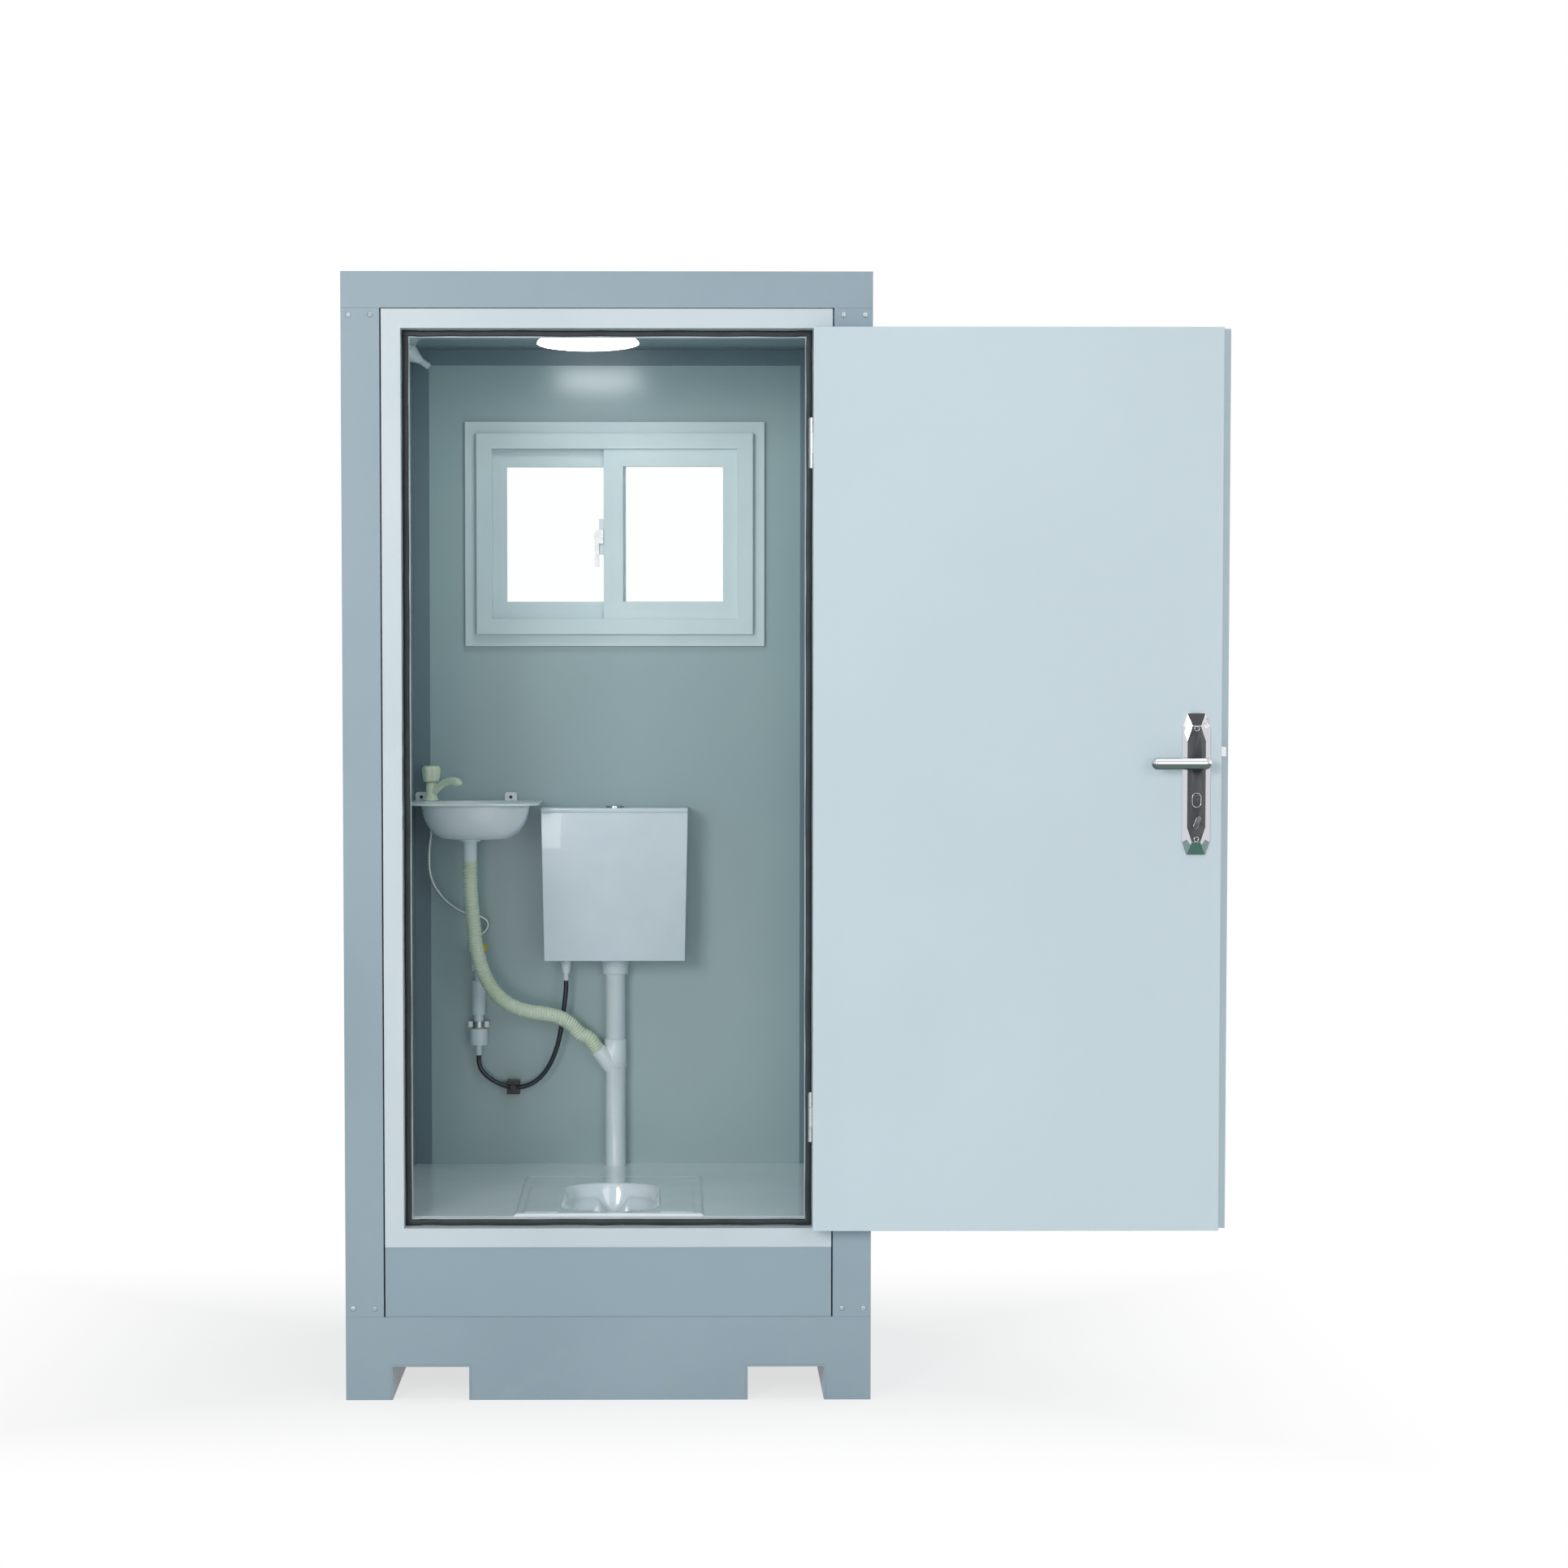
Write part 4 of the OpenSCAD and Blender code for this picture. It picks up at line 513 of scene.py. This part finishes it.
def plasticPaint(light, dark, radius=0.002):
    def paint(at):
        cloud = noise(at, scale=12, detail=3)
        peel = noise(at, scale=400, detail=2)
        return {"Base_Color": cloud.shades(dark, light), "Roughness": cloud.spread(base=0.24, by=0.12),
                "Normal": relief(at, peel, strength=0.04, distance=0.0002, radius=radius)}
    return paint


def glassPaint(at):
    return {"Roughness": noise(at, scale=30, detail=2).between(0.4, 0.9, 0.0, 0.04)}


brushedFinish = material("plainSteel", colour(184, 188, 190), 0.3, 1.0, paint=brushedPaint)
chromeFinish = material("lockChrome", colour(206, 208, 210), 0.08, 1.0, paint=chromePaint)
thumbFinish = material("thumbChrome", colour(180, 182, 186), 0.14, 1.0, paint=thumbPaint)
plateFinish = material("lockPlate", colour(196, 198, 200), 0.1, 1.0, paint=platePaint)
whitePlastic = material("whitePlastic", colour(236, 246, 250), 0.3,
                        paint=plasticPaint(colour(242, 250, 253), colour(236, 246, 250)))
cisternPlastic = material("cisternPlastic", colour(222, 234, 242), 0.24, coat=0.2,
                          paint=plasticPaint(colour(224, 236, 243), colour(220, 232, 240), 0.001))
basinPlastic = material("basinPlastic", colour(238, 247, 254), 0.22, coat=0.3,
                        paint=plasticPaint(colour(248, 253, 255), colour(243, 250, 254), 0.001))
tapPlastic = material("tapPlastic", colour(240, 247, 226), 0.34,
                      paint=plasticPaint(colour(243, 250, 230), colour(234, 243, 214), 0.001),
                      Subsurface_Weight=0.1, Subsurface_Radius=(0.01, 0.01, 0.006))
yellowPlastic = material("yellowPlastic", colour(214, 186, 20), 0.34,
                         paint=plasticPaint(colour(222, 194, 24), colour(204, 176, 16)))
blackPlastic = material("blackPlastic", colour(24, 28, 32), 0.4,
                        paint=plasticPaint(colour(30, 34, 38), colour(20, 23, 27)))
glassFinish = material("paneGlass", colour(254, 255, 255), 0.02, Transmission_Weight=1.0, IOR=1.02,
                       paint=glassPaint)

dress(brushedFinish, "strike_plate", "hinge_frame_halves", "hinge_door_halves", "lock_case", "latch_bolt",
      "dead_bolt", "window_latch_lever", "pipe_clamp")
softened("lever_handles", 0.0015, chromeFinish, "lever")
softened("thumb_turn", 0.0016, thumbFinish, "thumb")
softened("flush_button", 0.001, chromeFinish, "button")
softened("lock_plates", 0.0006, plateFinish, "door", angle=12)
dress(whitePlastic, "window_latch_base", "lamp_base", "cable_gland", "switch_plate", "switch_rocker",
      "fill_valve", "float_cup", "outlet_valve", "valve_plunger", "waste_trap")
for name in ("basin_waste", "stop_valve", "riser_pipe", "flush_pipe", "drain_tee"):
    softened(name, 0.0008, whitePlastic, segments=1)
softened("cistern_tank", 0.004, cisternPlastic, angle=50, segments=4)
softened("cistern_lid", 0.0025, cisternPlastic, "lid", angle=50, segments=3)
dress(yellowPlastic, "valve_handle")
dress(blackPlastic, "hose_clip")
dress(glassFinish, "pane_left", "pane_right")
print("fittings finished")


basin = {
    "left": -0.467, "right": -0.169, "front": 0.167, "back": 0.467, "corner": 0.070, "top": 1.229,
    "wall": 0.005, "bowl": (-0.317, 0.300), "mouth": 0.121, "flat": 0.062, "deep": 0.079, "lip": 0.012,
    "lipOut": 0.4, "lipIn": 0.1, "lipDrop": 0.0008, "edgeIn": 0.001, "edgeDrop": 0.004, "sideIn": 0.002,
    "slope": range(9, 91, 9), "drainShare": 0.5, "drainDrop": 0.0006, "cornerSteps": 14, "bowlSteps": 72,
    "round": 0.0018, "roundSteps": 3, "roundAngle": 50,
    "ears": (-0.451, -0.243), "ear": (0.028, 0.005, 0.019), "earSink": 0.004, "earRound": 0.006,
    "earRoundSteps": 6, "screwSteps": 20,
    "screw": [(0, 0.0022), (0.002, 0.002), (0.0036, 0.0008), (0.0038, 0)], "screwUp": 0.0075}


def basinPiece():
    b = basin
    shape = bmesh.new()
    middle = Vector(((b["left"] + b["right"]) / 2, (b["front"] + b["back"]) / 2, b["top"]))
    sizedPlate(shape, middle, b["right"] - b["left"], b["back"] - b["front"])
    roundOff(shape, [v for v in shape.verts if v.co.y < middle.y], b["corner"], b["cornerSteps"], "VERTICES")
    bmesh.ops.delete(shape, geom=shape.faces[:], context="FACES_ONLY")
    outline = shape.edges[:]
    hub = Matrix.Translation((*b["bowl"], b["top"]))
    radius, height = b["mouth"] + b["lip"] * b["lipOut"], 0.0
    bmesh.ops.create_circle(shape, segments=b["bowlSteps"], radius=radius, matrix=hub)
    ring = [e for e in shape.edges if e not in outline]
    bmesh.ops.triangle_fill(shape, edges=outline + ring, use_beauty=True, normal=(0, 0, 1))
    steps = [(b["mouth"] + b["lip"] * b["lipIn"], -b["lipDrop"]), (b["mouth"] - b["edgeIn"], -b["edgeDrop"])]
    for angle in map(math.radians, b["slope"]):
        steps.append((b["flat"] + (b["mouth"] - b["sideIn"] - b["flat"]) * math.cos(angle),
                      -b["deep"] * math.sin(angle)))
    steps.append((b["flat"] * b["drainShare"], -b["deep"] - b["drainDrop"]))
    for nextRadius, nextHeight in steps:
        grown = bmesh.ops.extrude_edge_only(shape, edges=ring)["geom"]
        verts = [g for g in grown if isinstance(g, bmesh.types.BMVert)]
        ring = [g for g in grown if isinstance(g, bmesh.types.BMEdge)]
        growth = nextRadius / radius
        bmesh.ops.scale(shape, vec=(growth, growth, 1), space=hub.inverted(), verts=verts)
        bmesh.ops.translate(shape, vec=(0, 0, nextHeight - height), verts=verts)
        radius, height = nextRadius, nextHeight
    bmesh.ops.edgeloop_fill(shape, edges=ring)
    made = sheetPiece("basinPiece", shape, basinPlastic, b["wall"])
    rounded = made.modifiers.new("rounded", "BEVEL")
    rounded.width, rounded.segments = b["round"], b["roundSteps"]
    rounded.limit_method, rounded.angle_limit = "ANGLE", math.radians(b["roundAngle"])
    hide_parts("basin")


def basinEarPieces():
    b = basin
    wide, thick, tall = b["ear"]
    low, high = b["top"] - b["earSink"], b["top"] + tall
    ears, heads = bmesh.new(), bmesh.new()
    for x in b["ears"]:
        place = Matrix.Translation((x, b["back"] - thick / 2, (low + high) / 2))
        block = bmesh.ops.create_cube(ears, size=1,
                                      matrix=place @ Matrix.Diagonal((wide, thick, high - low, 1)))["verts"]
        tops = [e for e in {e for v in block for e in v.link_edges}
                if all(v.co.z > high - mend["tight"] for v in e.verts)
                and abs(e.verts[0].co.y - e.verts[1].co.y) > thick / 2]
        roundOff(ears, tops, b["earRound"], b["earRoundSteps"])
        spunShape(b["screw"], b["screwSteps"], (x, b["back"] - thick, b["top"] + b["screwUp"]),
                  facingFront, heads)
    piece("basinEars", ears, basinPlastic, smooth=False)
    piece("basinScrews", heads, blackPlastic)


tap = {
    "place": (-0.424, 0.400), "rim": 1.229, "top": 1.273, "shank": 1.180, "thread": 0.0098,
    "bodySteps": 48, "spoutSteps": 32, "knobSteps": 72, "sealSteps": 32, "bodySharp": 50, "spoutSharp": 60,
    "low": [(0.0098, -0.017), (0.0148, -0.017), (0.0148, -0.0072), (0.0098, -0.0072), (0.0098, 0.0002),
            (0.018, 0.0002), (0.018, 0.002), (0.0165, 0.004), (0.0145, 0.009), (0.0128, 0.015),
            (0.0125, 0.024)],
    "high": [(0.0125, -0.008), (0.0120, -0.004), (0.0112, -0.0015), (0.0090, -0.0002), (0, -0.0002)],
    "route": [(-0.424, 0.400, 1.246), (-0.417, 0.395, 1.251), (-0.406, 0.387, 1.262), (-0.393, 0.378, 1.271),
              (-0.378, 0.367, 1.2755), (-0.366, 0.359, 1.2745), (-0.359, 0.354, 1.2700),
              (-0.3575, 0.353, 1.2655)],
    "spout": 0.0090, "mouth": 0.62, "mouthFrom": 0.93, "longEdge": 0.05, "spoutCuts": 4,
    "swell": [(0.0, 1), (0.35, 0.92), (0.6, 0.94), (0.78, 1.08), (0.9, 1.14), (0.97, 1.06), (1.0, 0.8)],
    "knob": 0.0215, "knobTall": 0.037, "knobUp": 0.0005, "lobes": 6, "lobeDepth": 0.0022, "lobeFrom": 0.55,
    "lobeRun": 0.45, "stem": 0.0041, "stemShare": 0.6,
    "knobFoot": [(0.72, 0), (0.80, 0.0005), (0.84, 0.003)],
    "knobSide": [(0.90, 0.25), (0.96, 0.5), (1, 0.72), (0.985, 0.82), (0.93, 0.91), (0.82, 0.97), (0.6, 1),
                 (0, 1)],
    "seal": (0.0100, 0.0184, 0.0008), "sealUp": 0.0001}


def tapBodyPiece():
    t = tap
    profile = [(0, t["shank"]), (t["thread"], t["shank"]), *((r, t["rim"] + z) for r, z in t["low"]),
               *((r, t["top"] + z) for r, z in t["high"])]
    body = spunShape(profile, t["bodySteps"], (*t["place"], 0))
    made = piece("tapPiece", body, tapPlastic)
    made.data.set_sharp_from_angle(angle=math.radians(t["bodySharp"]))
    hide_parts("tap_body")


def tapSpoutPiece():
    t = tap
    route = smoothRoute(t["route"])
    total = routeLength(route)
    outside = [(t["spout"] * width, total * share) for share, width in t["swell"]]
    mouth, mouthFrom = t["spout"] * t["mouth"], total * t["mouthFrom"]
    spout = spunShape([(0, 0), *outside, (mouth, total), (mouth, mouthFrom), (0, mouthFrom)],
                      t["spoutSteps"])
    lengthwise = [e for e in spout.edges if abs(e.verts[0].co.z - e.verts[1].co.z) > total * t["longEdge"]]
    bmesh.ops.subdivide_edges(spout, edges=lengthwise, cuts=t["spoutCuts"])
    layAlong(spout.verts, route, total)
    made = piece("tapSpout", spout, tapPlastic)
    made.data.set_sharp_from_angle(angle=math.radians(t["spoutSharp"]))


def tapKnobPiece():
    t = tap
    r, tall = t["knob"], t["knobTall"]
    core = r * t["lobeFrom"]
    outside = [(r * share, z) for share, z in t["knobFoot"]]
    outside += [(r * share, tall * up) for share, up in t["knobSide"]]
    inside = [(0, tall * t["stemShare"]), (t["stem"], tall * t["stemShare"]), (t["stem"], 0)]
    knob = spunShape(inside + outside, t["knobSteps"])
    for vert in knob.verts:
        out = math.hypot(vert.co.x, vert.co.y)
        if out > core:
            wave = 0.5 - 0.5 * math.cos(t["lobes"] * math.atan2(vert.co.y, vert.co.x))
            share = 1 - t["lobeDepth"] / r * wave ** 2 * (out - core) / (r * t["lobeRun"])
            vert.co.x, vert.co.y = vert.co.x * share, vert.co.y * share
    bmesh.ops.translate(knob, verts=knob.verts, vec=(*t["place"], t["top"] + t["knobUp"]))
    made = piece("tapKnobPiece", knob, tapPlastic, "tap")
    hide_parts("tap_knob")


def tapSealPiece():
    inner, outer, thick = tap["seal"]
    seal = spunShape([(inner, 0), (outer, 0), (outer, thick), (inner, thick), (inner, 0)],
                     tap["sealSteps"], (*tap["place"], tap["rim"] + tap["sealUp"]))
    piece("tapSeal", seal, blackPlastic)


lockTrim = {"up": 0.003, "screws": (1.179, 1.407), "ring": 0.0058,
            "ringTall": (0.0018, 0.0027, 0.0024, 0.001),
            "cylinder": (1.2540, 1.2655), "collar": 0.0100, "collarTall": (0.0031, 0.0042, 0.0038, 0.002),
            "band": 0.0021, "bandShares": (1, 1, 0.6, 0.2, 0, 0), "slot": (0.0090, 0.0006, 0.0014),
            "slotUp": 0.0030, "slotDown": 0.001, "slotTurn": -28, "slotRound": 0.0002,
            "ringSteps": 32, "collarSteps": 48, "slotRoundSteps": 2}


def collarProfile(radius, heights):
    insets = [lockTrim["band"] * share for share in lockTrim["bandShares"]]
    return [(radius - inset, height) for inset, height in zip(insets, (0, *heights, 0))]


def lockTrimPieces():  # collars round the plate's screws and its cylinder, and a black bar as painted shade of the slot in the cylinder
    face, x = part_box("lock_plates")[0][1] + lockTrim["up"], plate["x"]
    lower, upper = lockTrim["cylinder"]
    middle, stretch = (lower + upper) / 2, (upper - lower) / 2
    rings, ring = bmesh.new(), collarProfile(lockTrim["ring"], lockTrim["ringTall"])
    for z in lockTrim["screws"]:
        spunShape(ring, lockTrim["ringSteps"], (x, face, z), facingFront, rings)
    oval = spunShape(collarProfile(lockTrim["collar"], lockTrim["collarTall"]), lockTrim["collarSteps"],
                     (x, face, middle), facingFront)
    for vert in oval.verts:
        vert.co.z += stretch * (1 if vert.co.z > middle + mend["tight"] else -1)
    piece("lockCollar", oval, chromeFinish, "door")
    piece("lockScrewRings", rings, chromeFinish, "door")
    # the slot is a black bar, painted shade of the keyway
    slot = bmesh.new()
    place = Matrix.Translation((x, face - lockTrim["slotUp"], upper - lockTrim["slotDown"]))
    turn = Matrix.Rotation(math.radians(lockTrim["slotTurn"]), 4, "Y")
    bmesh.ops.create_cube(slot, size=1, matrix=place @ turn @ Matrix.Diagonal((*lockTrim["slot"], 1)))
    roundOff(slot, slot.edges[:], lockTrim["slotRound"], lockTrim["slotRoundSteps"])
    piece("cylinderSlotShade", slot, blackPlastic, "door", smooth=False)


screws = {"x": (0.4895, 0.5345), "head": 0.006, "tall": 0.0025, "steps": 24,
          "dome": [(0, 0.55), (0.16, 0.6), (0.2, 1), (0.5, 0.92), (0.8, 0.66), (1, 0.2), (1, 0)]}


def screwPaint(at):
    return {"Roughness": noise(at, scale=300, detail=2).spread(base=0.4, by=0.2),
            "Base_Color": noise(at, scale=90, detail=3).shades(colour(160, 172, 178), colour(192, 200, 204))}


def screwPiece():
    low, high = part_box("frame_screws")
    heads = bmesh.new()
    r, tall = screws["head"], screws["tall"]
    dome = [(r * share, tall * up) for share, up in screws["dome"]]
    for x in screws["x"]:
        for z in (low[2] + r, high[2] - r):
            for side in (-1, 1):
                spunShape(dome, screws["steps"], (side * x, low[1] + tall, z), facingFront, heads)
    made = piece("screwHeads", heads, screwFinish)
    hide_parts("frame_screws")


screwFinish = material("screwZinc", colour(176, 186, 190), 0.5, 0.7, paint=screwPaint)
basinPiece()
basinEarPieces()
tapBodyPiece()
tapSpoutPiece()
tapKnobPiece()
tapSealPiece()
lockTrimPieces()
screwPiece()
print("basin, tap and screws made")


gasket = {"width": 0.012, "depth": 0.008, "round": 0.003, "roundSteps": 4, "wave": 0.0012,
          "longEdge": 0.5, "cuts": 90, "back": 0.002, "sideBand": 0.02, "cornerBand": 0.03,
          "upWaves": ((9.1, 0), (23, 1.7)), "acrossWaves": ((11.3, 0), (29, 0.6))}


def wander(place, waves):
    return gasket["wave"] * 0.5 * sum(math.sin(place * rate + phase) for rate, phase in waves)


def gasketPiece():
    low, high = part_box("door_gasket")
    centre = Vector(((low[0] + high[0]) / 2, high[1], (low[2] + high[2]) / 2))
    corner = gasket["cornerBand"]
    shape = bmesh.new()
    sizedPlate(shape, centre, high[0] - low[0], high[2] - low[2], facingFront)
    face = shape.faces[:]
    ring = bmesh.ops.inset_region(shape, faces=face, thickness=gasket["width"], use_boundary=True,
                                  use_even_offset=True)["faces"]
    bmesh.ops.delete(shape, geom=face, context="FACES")
    grown = bmesh.ops.extrude_face_region(shape, geom=ring)["geom"]
    bmesh.ops.translate(shape, verts=[g for g in grown if isinstance(g, bmesh.types.BMVert)],
                        vec=(0, -gasket["depth"], 0))
    shape.normal_update()
    front = high[1] - gasket["depth"]
    rims = [e for e in shape.edges if all(abs(v.co.y - front) < mend["tight"] for v in e.verts)
            and sum(abs(f.normal.y) > 0.5 for f in e.link_faces) < 2]
    roundOff(shape, rims, gasket["round"], gasket["roundSteps"])
    long = [e for e in shape.edges if e.calc_length() > gasket["longEdge"]]
    bmesh.ops.subdivide_edges(shape, edges=long, cuts=gasket["cuts"], use_grid_fill=False)
    for vert in shape.verts:  # the seal is pressed in by hand and wanders a little
        if vert.co.y < high[1] - gasket["back"]:
            drift, lift = wander(vert.co.z, gasket["upWaves"]), wander(vert.co.x, gasket["acrossWaves"])
            onSide = abs(vert.co.x) > high[0] - gasket["sideBand"]
            if onSide and low[2] + corner < vert.co.z < high[2] - corner:
                vert.co.x -= abs(drift) * math.copysign(1, vert.co.x)
            elif abs(vert.co.x) < high[0] - corner:
                vert.co.z += abs(lift) * (1 if vert.co.z < centre.z else -1)
    made = piece("gasketPiece", shape, gasketFinish)
    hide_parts("door_gasket")


def gasketPaint(at):
    peel = noise(at, scale=300, detail=2)
    return {"Roughness": noise(at, scale=50, detail=3).spread(base=0.36, by=0.25),
            "Base_Color": noise(at, scale=14, detail=3).shades(colour(20, 28, 34), colour(36, 46, 52)),
            "Normal": relief(at, peel, strength=0.1, distance=0.0002, radius=0.0004)}


gasketFinish = material("gasketRubber", colour(24, 32, 38), 0.5, paint=gasketPaint)
gasketPiece()
print("gasket made")


lamp = {"centre": (-0.049, -0.100), "top": 2.253, "radius": 0.111, "rim": 0.014, "drop": 0.014, "wall": 0.003,
        "glow": 11, "edge": [(0.86, 0), (0.93, 0.3), (0.98, 0.65), (1, 1)], "dome": range(6, 91, 6),
        "dish": (0.7, 0.6), "neck": 0.86, "seat": 0.8, "steps": 64}


def lampPiece():
    r, rim, drop, top, wall = lamp["radius"], lamp["rim"], lamp["drop"], lamp["top"], lamp["wall"]
    dishOut, dishDown = lamp["dish"]
    outside = [(r * share, top - rim * down) for share, down in lamp["edge"]]
    outside += [(r * math.cos(angle), top - rim - drop * math.sin(angle))
                for angle in map(math.radians, lamp["dome"])]
    outside[-1] = (0, outside[-1][1])
    inside = [(0, top - rim - drop + wall), (r * dishOut, top - rim - drop * dishDown + wall),
              (r - wall, top - rim), (r * lamp["neck"] - wall, top - wall), (r * lamp["seat"], top),
              (r * lamp["neck"], top)]
    bowl = spunShape(outside + inside, lamp["steps"], (*lamp["centre"], 0))
    made = piece("lampPiece", bowl, lampFinish)
    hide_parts("lamp_diffuser")


def lampPaint(at):
    cloud = noise(at, scale=6, detail=2)
    return {"Emission_Color": cloud.shades(colour(246, 252, 255), colour(255, 255, 255), low=0.2, high=0.8),
            "Roughness": noise(at, scale=80, detail=2).spread(base=0.2, by=0.2)}


lampFinish = material("lampOpal", colour(245, 248, 250), 0.3, Emission_Strength=lamp["glow"], paint=lampPaint)
lampPiece()
print("lamp made")


pan = {
    "rim": 0.384, "floor": 0.378, "half": 0.201, "front": -0.476, "back": 0.186, "wall": 0.005,
    "cell": 0.0035, "roll": 0.006, "sheetLip": 0.0016, "lipEdge": (0.008, 0.012),
    "bowlHalf": 0.104, "bowlFront": -0.440, "bowlBack": 0.060, "shelf": 0.030, "shelfEdge": (-0.001, 0.011),
    "channelHalf": 0.031, "channel": 0.062, "channelFrom": 0.03, "channelSide": (-0.008, 0.024),
    "channelBend": 1.4, "channelEnd": (0.002, 0.009),
    "well": 0.085, "wellRadius": 0.046, "wellEdge": (-0.003, 0.010), "wellSide": (-0.003, 0.012),
    "wellFlank": 0.999,
    "treadIn": 0.106, "treadOut": 0.182, "treadFront": -0.456, "treadBack": -0.016, "tread": 0.0022,
    "treadEdge": 0.004,
    "hole": {"behind": 0.057, "height": 0.327, "halfWide": 0.006, "halfTall": 0.005}, "paintedShadeHeights": (0.318, 0.345)}


def step(value, low, high):
    t = min(max((value - low) / (high - low), 0), 1)
    return t * t * (3 - 2 * t)


def panHeight(x, y):
    p = pan
    r = p["bowlHalf"]
    along = min(max(y, p["bowlFront"] + r), p["bowlBack"] - r)
    inward = r - math.hypot(x, y - along)  # distance inside the bowl's edge
    z = p["rim"]
    edge = min(p["half"] - abs(x), y - p["front"], p["back"] - y)
    z -= (p["rim"] - p["floor"]) * (1 - step(edge, 0, p["roll"]))
    z -= p["sheetLip"] * step(edge, *p["lipEdge"])  # leaves a raised lip round the sheet
    inTread = min(abs(x) - p["treadIn"], p["treadOut"] - abs(x), y - p["treadFront"], p["treadBack"] - y)
    z += p["tread"] * step(inTread, 0, p["treadEdge"])
    z -= p["shelf"] * step(inward, *p["shelfEdge"])
    side = p["channelHalf"] - abs(x)
    if y > p["bowlFront"] + p["channelFrom"]:
        bend = 1 - (1 - step(side, *p["channelSide"])) ** p["channelBend"]
        z -= (p["channel"] - p["shelf"]) * bend * step(inward, *p["channelEnd"])
    well = p["wellRadius"] - math.hypot(x, y - (p["bowlFront"] + r))
    z -= (p["well"] - p["channel"]) * step(well, *p["wellEdge"]) * (1 if side > 0 else p["wellFlank"])
    if well > 0:
        z = min(z, p["rim"] - p["well"] * step(well, *p["wellSide"]))
    return z


def panPiece():
    shape = bmesh.new()
    width, length = 2 * pan["half"], pan["back"] - pan["front"]
    sizedPlate(shape, (0, (pan["front"] + pan["back"]) / 2, pan["rim"]), width, length,
               cells=(round(width / pan["cell"]), round(length / pan["cell"])))
    for vert in shape.verts:
        vert.co.z = panHeight(vert.co.x, vert.co.y)
    made = sheetPiece("panPiece", shape, panFinish, pan["wall"])
    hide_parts("squat_pan")


def glazePaint(at):  # painted shade low down in the channel and well, with the water hole painted dark as the shade inside it
    cloud = noise(at, scale=5, detail=3)
    low = axis(at, "Z").between(*pan["paintedShadeHeights"], 1, 0)
    hole = pan["hole"]
    inHole = (((axis(at, "Y") - hole["behind"]) > 0) * (axis(at, "X").size() < hole["halfWide"])
              * ((axis(at, "Z") - hole["height"]).size() < hole["halfTall"]))
    base = cloud.shades(colour(234, 244, 250), colour(242, 250, 254))
    return {"Base_Color": inHole.mix((low * 0.25).mix(base, colour(196, 204, 206)), colour(24, 26, 28)),
            "Roughness": cloud.spread(base=0.07, by=0.06)}


panFinish = material("panGlaze", colour(218, 228, 233), 0.1, coat=0.6, paint=glazePaint)
panPiece()
print("pan made")


studio = {
    "floorSize": 60, "floorColour": colour(246, 247, 247), "worldStrength": 0.33, "shadow": 0.3,
    "shadowRoom": (0.9, 0.6), "shadowEdge": (-0.3, 0.9), "aim": (0.2, 0, 1.2),
    "seenBy": ("Is Camera Ray", "Is Glossy Ray", "Is Transmission Ray"),
    "lights": [("key", (-2.5, -7.4, 2.6), 2.0, 165), ("fill", (2.9, -7.4, 2.2), 3.2, 66),
               ("top", (0.5, -1.5, 6.0), 4.0, 40), ("backLeft", (-4.6, 6.4, 3.0), 3.5, 110),
               ("backRight", (4.6, 6.4, 3.0), 3.5, 110), ("side", (7.0, 0.6, 2.6), 3.0, 50)]}


def seenDirectly(tree):
    node = tree.nodes.new("ShaderNodeLightPath")
    first, *others = studio["seenBy"]
    seen = Wire(tree, node.outputs[first])
    for kind in others:
        seen = seen + Wire(tree, node.outputs[kind])
    return seen > 0.5


def studioPaper():  # the eye sees white paper with a faint shadow near the cabin, the lamps see a pale floor
    made = material("studioPaper", studio["floorColour"], 0.9, specular=0.0)
    tree = made.node_tree
    at = Wire(tree, tree.nodes.new("ShaderNodeTexCoord").outputs["Object"])
    roomX, roomY = studio["shadowRoom"]
    far = (axis(at, "X").size() - roomX).larger(axis(at, "Y").size() - roomY)
    share = far.between(*studio["shadowEdge"], 1 - studio["shadow"], 1.0)
    floor = Wire(tree, tree.nodes["Principled BSDF"].outputs[0])
    white = at.node("ShaderNodeEmission")
    blend = at.node("ShaderNodeMixShader", {}, i0=share * seenDirectly(tree), i1=floor, i2=white)
    tree.links.new(blend.socket, tree.nodes["Material Output"].inputs["Surface"])
    return made


def makeStudio():
    shape = bmesh.new()
    bmesh.ops.create_grid(shape, x_segments=1, y_segments=1, size=studio["floorSize"] / 2)
    data = bpy.data.meshes.new("studioFloor")
    shape.to_mesh(data)
    shape.free()
    ground = bpy.data.objects.new("studioFloor", data)
    bpy.context.collection.objects.link(ground)
    data.materials.append(studioPaper())
    world = bpy.data.worlds.new("studioWorld")
    bpy.context.scene.world = world
    world.use_nodes = True
    tree = world.node_tree
    back = tree.nodes["Background"]
    back.inputs["Color"].default_value = (1, 1, 1, 1)
    seen = seenDirectly(tree)
    strength = studio["worldStrength"]
    tree.links.new(seen.spread(base=strength, by=1 - strength).socket, back.inputs["Strength"])
    for name, place, size, power in studio["lights"]:
        light = bpy.data.lights.new(name, "AREA")
        light.shape, light.size, light.energy = "SQUARE", size, power
        holder = bpy.data.objects.new(name, light)
        holder.location = place
        aimed = Vector(studio["aim"]) - Vector(place)
        holder.rotation_euler = aimed.to_track_quat("-Z", "Y").to_euler()
        bpy.context.collection.objects.link(holder)
    bpy.context.scene.view_settings.view_transform = "Standard"


makeStudio()
print("studio lit")
